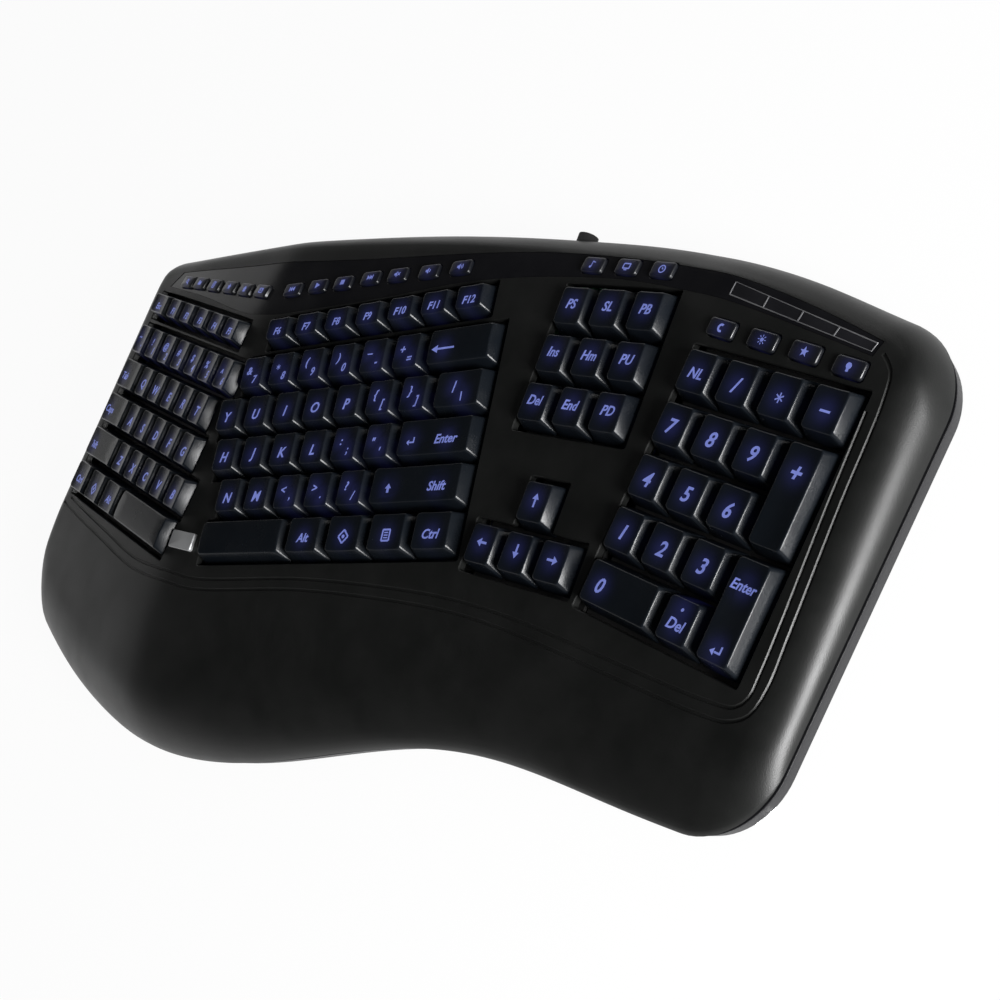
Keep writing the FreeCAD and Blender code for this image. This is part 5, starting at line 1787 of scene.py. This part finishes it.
def turned(outlines: Iterable[Sequence[Point2]], degrees: float) -> list[list[Point2]]:
    """Outlines turned around zero."""
    a = math.radians(degrees)
    c, s = math.cos(a), math.sin(a)
    return [[(x * c - y * s, x * s + y * c) for x, y in outline] for outline in outlines]


def disc(x: float, y: float, radius: float) -> list[Point2]:
    """Outline of a filled circle."""
    sides = 14
    turns = [math.radians(360 * i / sides) for i in range(sides)]
    return [(x + radius * math.cos(a), y + radius * math.sin(a)) for a in turns]


def arc(x: float, y: float, radius: float, start: float, end: float, half: float = 0.12) -> list[Point2]:
    """Outline of a curved stroke."""
    parts = 10
    turns = [math.radians(start + (end - start) * i / parts) for i in range(parts + 1)]
    outer = [(x + (radius + half) * math.cos(a), y + (radius + half) * math.sin(a)) for a in turns]
    inner = [(x + (radius - half) * math.cos(a), y + (radius - half) * math.sin(a)) for a in turns]
    return outer + list(reversed(inner))


def frame_bars(x: float, y: float) -> list[list[Point2]]:
    """Four strokes around a rectangle of half sides x and y."""
    return [bar(-x, -y, x, -y), bar(x, -y, x, y), bar(x, y, -x, y), bar(-x, y, -x, -y)]


ARROW = [bar(-0.3, 0, 1, 0, 0.17), [(-1, 0), (-0.15, -0.62), (-0.15, 0.62)]]
CONE = [(-0.9, -0.3), (-0.5, -0.3), (0.0, -0.8), (0.0, 0.8), (-0.5, 0.3), (-0.9, 0.3)]
STAR_RAYS = [(math.cos(math.radians(90 + 36 * i)) * (1.0, 0.42)[i % 2],
              math.sin(math.radians(90 + 36 * i)) * (1.0, 0.42)[i % 2]) for i in range(10)]
MARK_OUTLINES: dict[Mark, list[list[Point2]]] = {
    Mark.LEFT: ARROW,
    Mark.RIGHT: turned(ARROW, 180),
    Mark.UP: turned(ARROW, -90),
    Mark.DOWN: turned(ARROW, 90),
    Mark.ERASE: [bar(-1.2, 0, 2.3, 0, 0.15), [(-2.3, 0), (-1.1, -0.62), (-1.1, 0.62)]],
    Mark.RETURN: [bar(-0.2, -0.25, 0.9, -0.25), bar(0.8, -0.3, 0.8, 0.7),
                  [(-1, -0.25), (-0.3, -0.75), (-0.3, 0.25)]],
    Mark.SHIFT: [[(-0.75, 0.0), (0.75, 0.0), (0.0, 0.9)], bar(0, 0.05, 0, -0.8, 0.28)],
    Mark.DIAMOND: turned(frame_bars(0.75, 0.75), 45) + [disc(0, 0, 0.3)],
    Mark.MENU: frame_bars(0.75, 0.85) + [bar(-0.4, y, 0.4, y, 0.09) for y in (0.4, 0.0, -0.4)],
    Mark.PLAY: [[(-0.6, -0.8), (0.9, 0.0), (-0.6, 0.8)]],
    Mark.STOP: [[(-0.65, -0.65), (0.65, -0.65), (0.65, 0.65), (-0.65, 0.65)]],
    Mark.NEXT: [[(-0.9, -0.65), (0.0, 0.0), (-0.9, 0.65)], [(0.0, -0.65), (0.8, 0.0), (0.0, 0.65)],
                bar(0.9, -0.65, 0.9, 0.65, 0.1)],
    Mark.BACK: [[(0.9, 0.65), (0.0, 0.0), (0.9, -0.65)], [(0.0, 0.65), (-0.8, 0.0), (0.0, -0.65)],
                bar(-0.9, -0.65, -0.9, 0.65, 0.1)],
    Mark.QUIET: [CONE, bar(0.25, -0.4, 0.95, 0.4, 0.1), bar(0.25, 0.4, 0.95, -0.4, 0.1)],
    Mark.SPEAKER: [CONE, arc(0, 0, 0.5, -45, 45, 0.1)],
    Mark.LOUD: [CONE, arc(0, 0, 0.45, -45, 45, 0.09), arc(0, 0, 0.85, -45, 45, 0.09)],
    Mark.LETTER: frame_bars(0.9, 0.6) + [bar(-0.85, 0.5, 0.0, -0.1, 0.1), bar(0.0, -0.1, 0.85, 0.5, 0.1)],
    Mark.HOME: [[(-0.95, 0.0), (0.95, 0.0), (0.0, 0.9)],
                [(-0.6, -0.8), (0.6, -0.8), (0.6, -0.05), (-0.6, -0.05)]],
    Mark.SEARCH: [arc(-0.15, 0.15, 0.55, 0, 180), arc(-0.15, 0.15, 0.55, 180, 360),
                  bar(0.25, -0.3, 0.85, -0.9)],
    Mark.STAR: [STAR_RAYS],
    Mark.TIMES: [turned([bar(-1, 0, 1, 0, 0.13)], angle)[0] for angle in (30, 90, 150)],
    Mark.SHEET: frame_bars(0.6, 0.85) + [bar(-0.3, y, 0.3, y, 0.08) for y in (0.35, 0.0, -0.35)],
    Mark.FOLDER: [[(-0.9, -0.65), (0.9, -0.65), (0.9, 0.4), (-0.9, 0.4)],
                  [(-0.9, 0.5), (-0.1, 0.5), (-0.25, 0.75), (-0.8, 0.75)]],
    Mark.CLOCK: [arc(0, 0, 0.8, 0, 180), arc(0, 0, 0.8, 180, 360), bar(0, 0, 0, 0.5, 0.09),
                 bar(0, 0, 0.4, 0, 0.09)],
    Mark.SCREEN: frame_bars(0.9, 0.55) + [bar(-0.4, -0.9, 0.4, -0.9, 0.1)],
    Mark.MOON: [arc(0.1, 0, 0.65, 60, 300, 0.22)],
    Mark.SUN: [disc(0, 0, 0.4)] + [turned([bar(0.6, 0, 0.95, 0, 0.08)], 45 * i)[0] for i in range(8)],
    Mark.BULB: [disc(0, 0.2, 0.6), bar(0, -0.35, 0, -0.9, 0.28)],
    Mark.NOTE: [disc(-0.4, -0.6, 0.3), bar(-0.15, -0.6, -0.15, 0.8, 0.09), bar(-0.15, 0.7, 0.6, 0.45, 0.12)],
}
WRITER = SignWriter()


# Keys

@dataclass(frozen=True)
class CapShape:
    """Size rule of one key cap.

    Attributes:
        gap: Room between the feet of neighbouring caps.
        height: Height of a cap.
        insets: How far the top stands in from the cell at the sides, front and back.
        corner: Corner radius at the foot and at the top.
        edge: Radius of the top edge.
        dish: Depth of the hollow in the top.
        wall: Thickness of a cap's sides.
        roof: Thickness of its top.
        stem_half: Half the side of a stem.
        stem_end: Height of a stem's lower end.
        wide: Length of a key, in keys, from which it has three stems.
        wide_stem: Distance of an outer stem from the end of its key, in keys.
        top_rings: Size of each ring on the top, as a share of its edge.
    """

    gap: float = 1.05
    height: float = 8.0
    insets: Point3 = (3.0, 2.8, 2.0)
    corner: Point2 = (0.9, 1.5)
    edge: float = 0.55
    dish: float = 0.5
    wall: float = 1.2
    roof: float = 1.6
    stem_half: float = 2.3
    stem_end: float = -12.6
    wide: float = 2.0
    wide_stem: float = 0.55
    top_rings: Point3 = (0.72, 0.4, 0.12)

    def top(self, cell: Sequence[float], bulge: bool) -> Callable[[float, float], float]:
        """Height rule of a key's top: hollow across, or crowned on space keys."""
        side, front, back = self.insets
        middle = (cell[0] + cell[1]) / 2
        half = (cell[1] - cell[0]) / 2 - side
        centre_y = (cell[2] + front + cell[3] - back) / 2
        half_y = (cell[3] - back - cell[2] - front) / 2
        edge = min(half, 6.5)

        def height(x: float, y: float) -> float:
            """Height over the top's plane."""
            if bulge:
                return -self.dish * min(1.0, abs((y - centre_y) / half_y)) ** 2
            reach = max(0.0, abs(x - middle) - (half - edge)) / edge
            return -self.dish * (1 - min(1.0, reach) ** 2)

        return height

    def outline(self, cell: Sequence[float], share: float, inset: float = 0.0) -> list[Point2]:
        """Outline at a share of the way from the foot to the top, moved in by inset."""
        foot = self.gap / 2
        side, front, back = (foot + (v - foot) * share + inset for v in self.insets)
        radius = self.corner[0] + (self.corner[1] - self.corner[0]) * share - inset * 0.6
        long = max(3, round((cell[1] - cell[0]) / 4.5))
        deep = max(2, round((cell[3] - cell[2]) / 9))
        return rounded_rectangle(cell[0] + side, cell[1] - side, cell[2] + front, cell[3] - back,
                                 max(0.3, radius), 3, (long, deep))

    def add_to(self, skin: Skin, matrix: Matrix, cell: Sequence[float], bulge: bool,
               signs: Sequence[Point2]) -> None:
        """Add one cap.

        Args:
            skin: The node's mesh.
            matrix: Placement of the bank.
            cell: The key's cell.
            bulge: Whether the top is crowned.
            signs: Places of the cap's signs on the plane, for the light around them.
        """
        top = self.top(cell, bulge)
        start = len(skin.points)
        flat_points: list[Point2] = []

        def ring(share: float, z: float, inset: float = 0.0, sink: float = 1.0) -> list[Vector]:
            """One ring around the cap, which follows the hollow by a share of its depth."""
            flat = self.outline(cell, share, inset)
            flat_points.extend(flat)
            return [matrix @ Vector((x, y, z + top(x, y) * sink)) for x, y in flat]

        rings = [ring(0, -self.height, 0, 0), ring(0.45, -self.height * 0.55, 0, 0.1)]
        reach = 1 - self.edge / self.height
        rings.append(ring(reach, -self.edge, 0, 0.8))
        for degrees in (25, 50, 75, 90):
            a = math.radians(degrees)
            rings.append(ring(reach + (1 - reach) * math.sin(a), -self.edge * (1 - math.sin(a)),
                              self.edge * (1 - math.cos(a))))
        numbers = [skin.ring(points) for points in rings]
        last = self.outline(cell, 1, self.edge)
        middle_x = (cell[0] + cell[1]) / 2
        middle_y = (min(p[1] for p in last) + max(p[1] for p in last)) / 2
        for share in self.top_rings:
            flat = [(middle_x + (x - middle_x) * share, middle_y + (y - middle_y) * share) for x, y in last]
            flat_points.extend(flat)
            numbers.append(skin.ring(matrix @ Vector((x, y, top(x, y))) for x, y in flat))
        skin.bridges(numbers)
        flat_points.append((middle_x, middle_y))
        skin.fan(numbers[-1], matrix @ Vector((middle_x, middle_y, top(middle_x, middle_y))))
        inner = [skin.ring(raised(matrix, self.outline(cell, share, self.wall), z))
                 for share, z in ((0, -self.height), (1 - self.roof / self.height, -self.roof - self.dish))]
        skin.bridge(inner[0], numbers[0])
        skin.bridge(inner[1], inner[0])
        skin.cap(inner[1], False)
        h = self.stem_half
        for x, y in self.stems(cell):
            square = [(x - h, y - h), (x + h, y - h), (x + h, y + h), (x - h, y + h)]
            skin.stack([raised(matrix, square, z) for z in (self.stem_end, -self.roof)])
        for number, (x, y) in enumerate(flat_points, start):
            near = min(((x - sx, y - sy) for sx, sy in signs), key=lambda d: math.hypot(*d), default=(90, 90))
            if len(signs) > 1:
                near = (abs(near[0]), abs(near[1]))
            skin.uvs[number] = (near[0] / HALO_UNIT, near[1] / HALO_UNIT)

    def stems(self, cell: Sequence[float]) -> list[Point2]:
        """Places of a cap's stems."""
        x0, x1, y0, y1 = cell
        x, y = (x0 + x1) / 2, (y0 + y1) / 2
        reach = self.wide_stem * PITCH
        spots = [(x, y)]
        if x1 - x0 > (self.wide - 0.01) * PITCH:
            spots += [(x0 + reach, y), (x1 - reach, y)]
        if y1 - y0 > (self.wide - 0.01) * PITCH:
            spots += [(x, y0 + reach), (x, y1 - reach)]
        return spots


@dataclass
class KeyField:
    """Every key of the four banks with its lit signs.

    Attributes:
        shape: Size rule of the caps.
        letter: Size of single letters.
        word: Size of words.
        pair: Size of the two signs of one key.
        function: Size of the function names.
        mark: Half the side of a mark.
        forward: How far signs of some banks stand in front of the middle of the top.
    """

    shape: CapShape = field(default_factory=CapShape)
    letter: float = 6.3
    word: float = 5.2
    pair: float = 5.0
    function: float = 4.6
    mark: float = 2.6
    forward: dict[str, float] = field(default_factory=lambda: {"nav": -0.6, "pad": 0.6})

    def signs(self, name: str, row: Row, cell: Sequence[float], legend) -> list[tuple[tuple, Point2]]:
        """Drawings of one key's signs and their places.

        Args:
            name: Node of the key.
            row: Its row.
            cell: Its cell.
            legend: Its text or mark.

        Returns:
            Pairs of a drawing and its place on the plane.
        """
        side, front, back = self.shape.insets
        x = (cell[0] + cell[1]) / 2
        y = (cell[2] + front + cell[3] - back) / 2 - self.forward.get(row.bank, 1.4)
        left = cell[0] + side
        # What is drawn, its size and its place.
        special = {
            "backspace_key": [(Mark.ERASE, self.mark, left + 8, y)],
            "enter_key": [(Mark.RETURN, 2.2, left + 6, y), ("Enter", self.word, left + 25, y)],
            "right_shift_key": [(Mark.SHIFT, 2.2, left + 9, y), ("Shift", self.word, left + 35, y)],
            "pad_enter_key": [("Enter", self.word - 0.5, x, cell[3] - back - 8.5),
                              (Mark.RETURN, 2.4, x, cell[2] + front + 4)],
            "pad_zero_key": [("0", self.letter + 1, left + 7, y)],
            "pad_plus_key": [("+", self.letter + 2, x, cell[3] - back - 9)],
            "pad_decimal_key": [(".", self.letter + 1, x, y + 4.2), ("Del", self.word, x, y - 0.8)],
        }
        if name in special:
            found = special[name]
        elif isinstance(legend, Mark):
            found = [(legend, self.mark, x, y)]
        elif name in ("tab_key", "caps_lock_key", "left_shift_key"):
            found = [(legend, self.word, left + 7, y)]
        elif row.depth < 1:
            found = [(legend, self.function, x, y)]
        elif " " in legend:
            upper, lower = legend.split(" ")
            found = [(upper, self.pair, x - 2.2, y + 2.1), (lower, self.pair, x + 2.3, y - 2.1)]
        elif legend:
            size = self.word if len(legend) > 1 else self.letter + (1 if row.bank == "pad" else 0)
            found = [(legend, size, x, y)]
        else:
            found = []
        return [(WRITER.sign(what, size), (px, py)) for what, size, px, py in found]

    def build(self) -> None:
        """Make every row's caps and signs and ride them on the row's body."""
        for name, row in ROWS.items():
            matrix = BANKS[row.bank].matrix
            caps, lit = Skin(), Skin()
            bulge = "space" in name
            for cell, legend in zip(row.cells(), row.legends):
                signs = self.signs(name, row, cell, legend)
                top = self.shape.top(cell, bulge)
                self.shape.add_to(caps, matrix, cell, bulge, [place_at for _, place_at in signs])
                for drawing, place_at in signs:
                    WRITER.lay(lit, drawing, matrix, place_at, top)
            settle(caps.thing(name + "_caps", KEY_CHARCOAL.make()), BODY_OF[name], "key_charcoal", name)
            if lit.points:
                settle(lit.thing(name + "_signs", SIGN_GLOW.make()), BODY_OF[name], "light_panel")


@dataclass
class HotKeys:
    """The small keys behind the banks, with rounded tops and lit marks.

    Attributes:
        sign_size: Half the side of a mark.
        edge: Radius of a cap's top edge.
        corner: Corner radius of a cap.
    """

    sign_size: float = 1.8
    edge: float = 0.6
    corner: float = 1.2

    def build(self) -> None:
        """Make each group and ride it on its body."""
        for name, group in HOT_GROUPS.items():
            caps, lit = Skin(), Skin()
            for spot, mark in zip(group.spots(), group.marks):
                self.cap(caps, group, spot)
                WRITER.lay(lit, WRITER.sign(mark, self.sign_size), group.matrix, (spot.x, spot.y),
                           lambda x, y, z=spot.z + group.proud: z)
            settle(caps.thing(name + "_caps", HOT_CHARCOAL.make()), BODY_OF[name], "key_charcoal", name)
            settle(lit.thing(name + "_signs", SIGN_GLOW.make()), BODY_OF[name], "light_panel")

    def cap(self, skin: Skin, group: HotGroup, spot: Vector) -> None:
        """Add one small cap over its flange."""
        half_x, half_y = group.width / 2, group.depth / 2
        high = spot.z + group.proud
        flange_top, flange_low, out = group.flange
        steps = [(-out, flange_low), (-out, flange_top), (0.0, flange_top), (0.0, high - self.edge)]
        steps += edge_steps(self.edge, high)
        start = len(skin.points)
        rings = []
        for inset, z in steps:
            flat = rounded_rectangle(
                spot.x - half_x + inset, spot.x + half_x - inset, spot.y - half_y + inset,
                spot.y + half_y - inset, max(0.4, self.corner - inset * 0.5), 3, (2, 1))
            for x, y in flat:
                skin.uvs[start] = ((x - spot.x) / HALO_UNIT, (y - spot.y) / HALO_UNIT)
                start += 1
            rings.append(raised(group.matrix, flat, z))
        numbers = [skin.ring(points) for points in rings]
        skin.bridges(numbers)
        skin.cap(numbers[0], False)
        skin.uvs[len(skin.points)] = (0.0, 0.0)
        skin.fan(numbers[-1], group.matrix @ Vector((spot.x, spot.y, high)))


HOT_CHARCOAL = KeyFinish("hot_key_finish", (0.0025, 0.003, 0.004), (0.004, 0.0045, 0.006), (0.3, 0.42), 0.4,
                         fine=3200.0, bump=0.00002, reach=0.3, strength=0.07)


@dataclass
class Inside:
    """Pieces inside the case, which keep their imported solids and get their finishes."""

    finishes: dict[str, Finish] = field(default_factory=lambda: {
        "key_guide_plates": PLATE_BLACK, "dome_sheets": DOME_RUBBER, "membrane_sheets": MEMBRANE_FILM,
        "light_guides": LIGHT_PANEL, "controller_board": BOARD_GREEN, "indicator_board": BOARD_GREEN,
        "hot_key_boards": BOARD_GREEN, "hot_key_pads": DOME_RUBBER})

    def build(self) -> None:
        """Give each kept node its finish."""
        for node, finish in self.finishes.items():
            slots = frame["nodes"][node].data.materials
            for number in range(max(1, len(slots))):
                if len(slots) <= number:
                    slots.append(finish.make())
                else:
                    slots[number] = finish.make()
            log.info("%s: finish %s", node, finish.name)


# Studio

@dataclass
class Studio:
    """White ground, plain lamps and the camera.

    Attributes:
        eye: Camera place in the frame.
        right: Direction of the image's right side.
        up: Direction of the image's top.
        lens: Focal length in millimetres.
        fill: Even light of the surroundings.
        horizon: Upward share of a direction where the seen white starts to fade, and where it has faded.
        ceiling: What is left of it overhead.
        flag: Where reflections of the background start to fade to the back right, and where they have faded.
        flag_left: What is left of them there.
        flag_side: Where the same change starts and ends from the left to the right.
        white_share: Share of the ground that shines white instead of being lit.
        lamps: Name, place, sides and power of each lamp.
    """

    eye: Point3 = (0.528868, -0.092998, 0.37891)
    right: Point3 = (0.63817, 0.34570, -0.68792)
    up: Point3 = (-0.09324, 0.92165, 0.37666)
    lens: float = 57.09
    sensor: float = 36.0
    fill: float = 0.28
    horizon: Point2 = (0.1, 0.36)
    ceiling: float = 0.03
    flag: Point2 = (0.05, 0.3)
    flag_left: float = 0.12
    flag_side: Point2 = (0.0, 0.2)
    white_share: float = 0.94
    lamps: tuple = (("right_lamp", (1.2, -0.24, 0.27), (0.42, 0.4), 42.0),
                    ("back_lamp", (-0.55, 1.1, 0.5), (0.5, 0.25), 1.2))

    def camera(self) -> None:
        """Set the camera at the photograph's place."""
        data = bpy.data.cameras.new("camera")
        data.lens = self.lens
        data.sensor_width = self.sensor
        data.clip_start = 0.01
        camera = linked("camera", data)
        right, up = Vector(self.right).normalized(), Vector(self.up).normalized()
        turn = Matrix((right, up, right.cross(up))).transposed().to_4x4()
        camera.matrix_world = Matrix.Translation(Vector(self.eye)) @ turn
        bpy.context.scene.camera = camera

    def lamp(self, name: str, at: Point3, sides: Point2, power: float) -> None:
        """Add a flat lamp that looks at the frame's origin."""
        data = bpy.data.lights.new(name, "AREA")
        data.shape = "RECTANGLE"
        data.size, data.size_y = sides
        data.energy = power
        turn = Vector(at).to_track_quat("Z", "Y").to_matrix().to_4x4()
        linked(name, data).matrix_world = Matrix.Translation(Vector(at)) @ turn

    def seen(self, build: NodeBuilder, way: Socket) -> Socket:
        """How white the background is: one for the camera, and for reflections less to the back right.

        Args:
            build: Builder of the tree.
            way: Direction or place, whose Y rises to the back.

        Returns:
            A share between zero and one, which is zero for light that reaches matt surfaces.
        """
        path = build.add("ShaderNodeLightPath")
        kept = build.ramp(build.part(way, "Y"), *self.flag, 1.0, self.flag_left)
        right = build.ramp(build.part(way, "X"), *self.flag_side, 1.0, 0.0)
        shiny = build.math("MULTIPLY", path.outputs["Is Glossy Ray"], build.math("MAXIMUM", kept, right))
        rays = build.math("ADD", path.outputs["Is Camera Ray"], shiny)
        return build.math("MINIMUM", build.math("ADD", rays, path.outputs["Is Transmission Ray"]), 1.0)

    def ground(self) -> None:
        """Add the white ground, which keeps a soft shadow."""
        half = 6.0
        mesh = bpy.data.meshes.new("ground")
        mesh.from_pydata([(-half, -half, 0), (half, -half, 0), (half, half, 0), (-half, half, 0)], [],
                         [(0, 1, 2, 3)])
        material = bpy.data.materials.new("ground_white")
        build = cleared(material)
        paper = build.add("ShaderNodeBsdfDiffuse", {"Color": (0.82, 0.82, 0.82, 1)})
        white = build.add("ShaderNodeEmission", {"Color": (1, 1, 1, 1), "Strength": 1.0})
        share = build.math("MULTIPLY", self.seen(build, build.where()), self.white_share)
        mix = build.add("ShaderNodeMixShader", {0: share, 1: paper.outputs[0], 2: white.outputs[0]})
        build.add("ShaderNodeOutputMaterial", {0: mix.outputs[0]})
        mesh.materials.append(material)
        ground = linked("ground", mesh)

    def sky(self) -> None:
        """Set the surroundings: an even fill, seen white near the horizon and dim overhead."""
        world = bpy.data.worlds.new("surroundings")
        build = cleared(world)
        way = build.where("Generated")
        shown = build.ramp(build.part(way, "Z"), *self.horizon, 1.0, self.ceiling)
        strength = build.add("ShaderNodeMix", {0: self.seen(build, way), 2: self.fill, 3: shown}).outputs[0]
        colour = build.add("ShaderNodeBackground", {"Color": (1, 1, 1, 1), "Strength": strength})
        build.add("ShaderNodeOutputWorld", {0: colour.outputs[0]})
        bpy.context.scene.world = world

    def build(self) -> None:
        """Set up ground, sky, lamps, camera and view."""
        self.ground()
        self.sky()
        for lamp in self.lamps:
            self.lamp(*lamp)
        self.camera()
        bpy.context.scene.view_settings.view_transform = "Standard"


def main() -> None:
    """Build the keyboard's looks piece by piece, then the studio."""
    logging.basicConfig(level=logging.INFO, format="%(name)s: %(message)s")
    top_case = TopCase()
    settle(top_case.build(), "case", "case_black", "top_shell")
    settle(MediaStrip(top_case).build(), "case", "strip_black", "media_strip")
    glass, rim = LENS.build()
    settle(glass, "case", "lens_smoke", "indicator_lens")
    settle(rim, "case", "lens_smoke")
    settle(BadgePlate(top_case).build(), "case", "badge_silver", "badge_plate")
    BaseCase().build()
    KeyField().build()
    HotKeys().build()
    Inside().build()
    Studio().build()


if __name__ == "__main__":
    main()
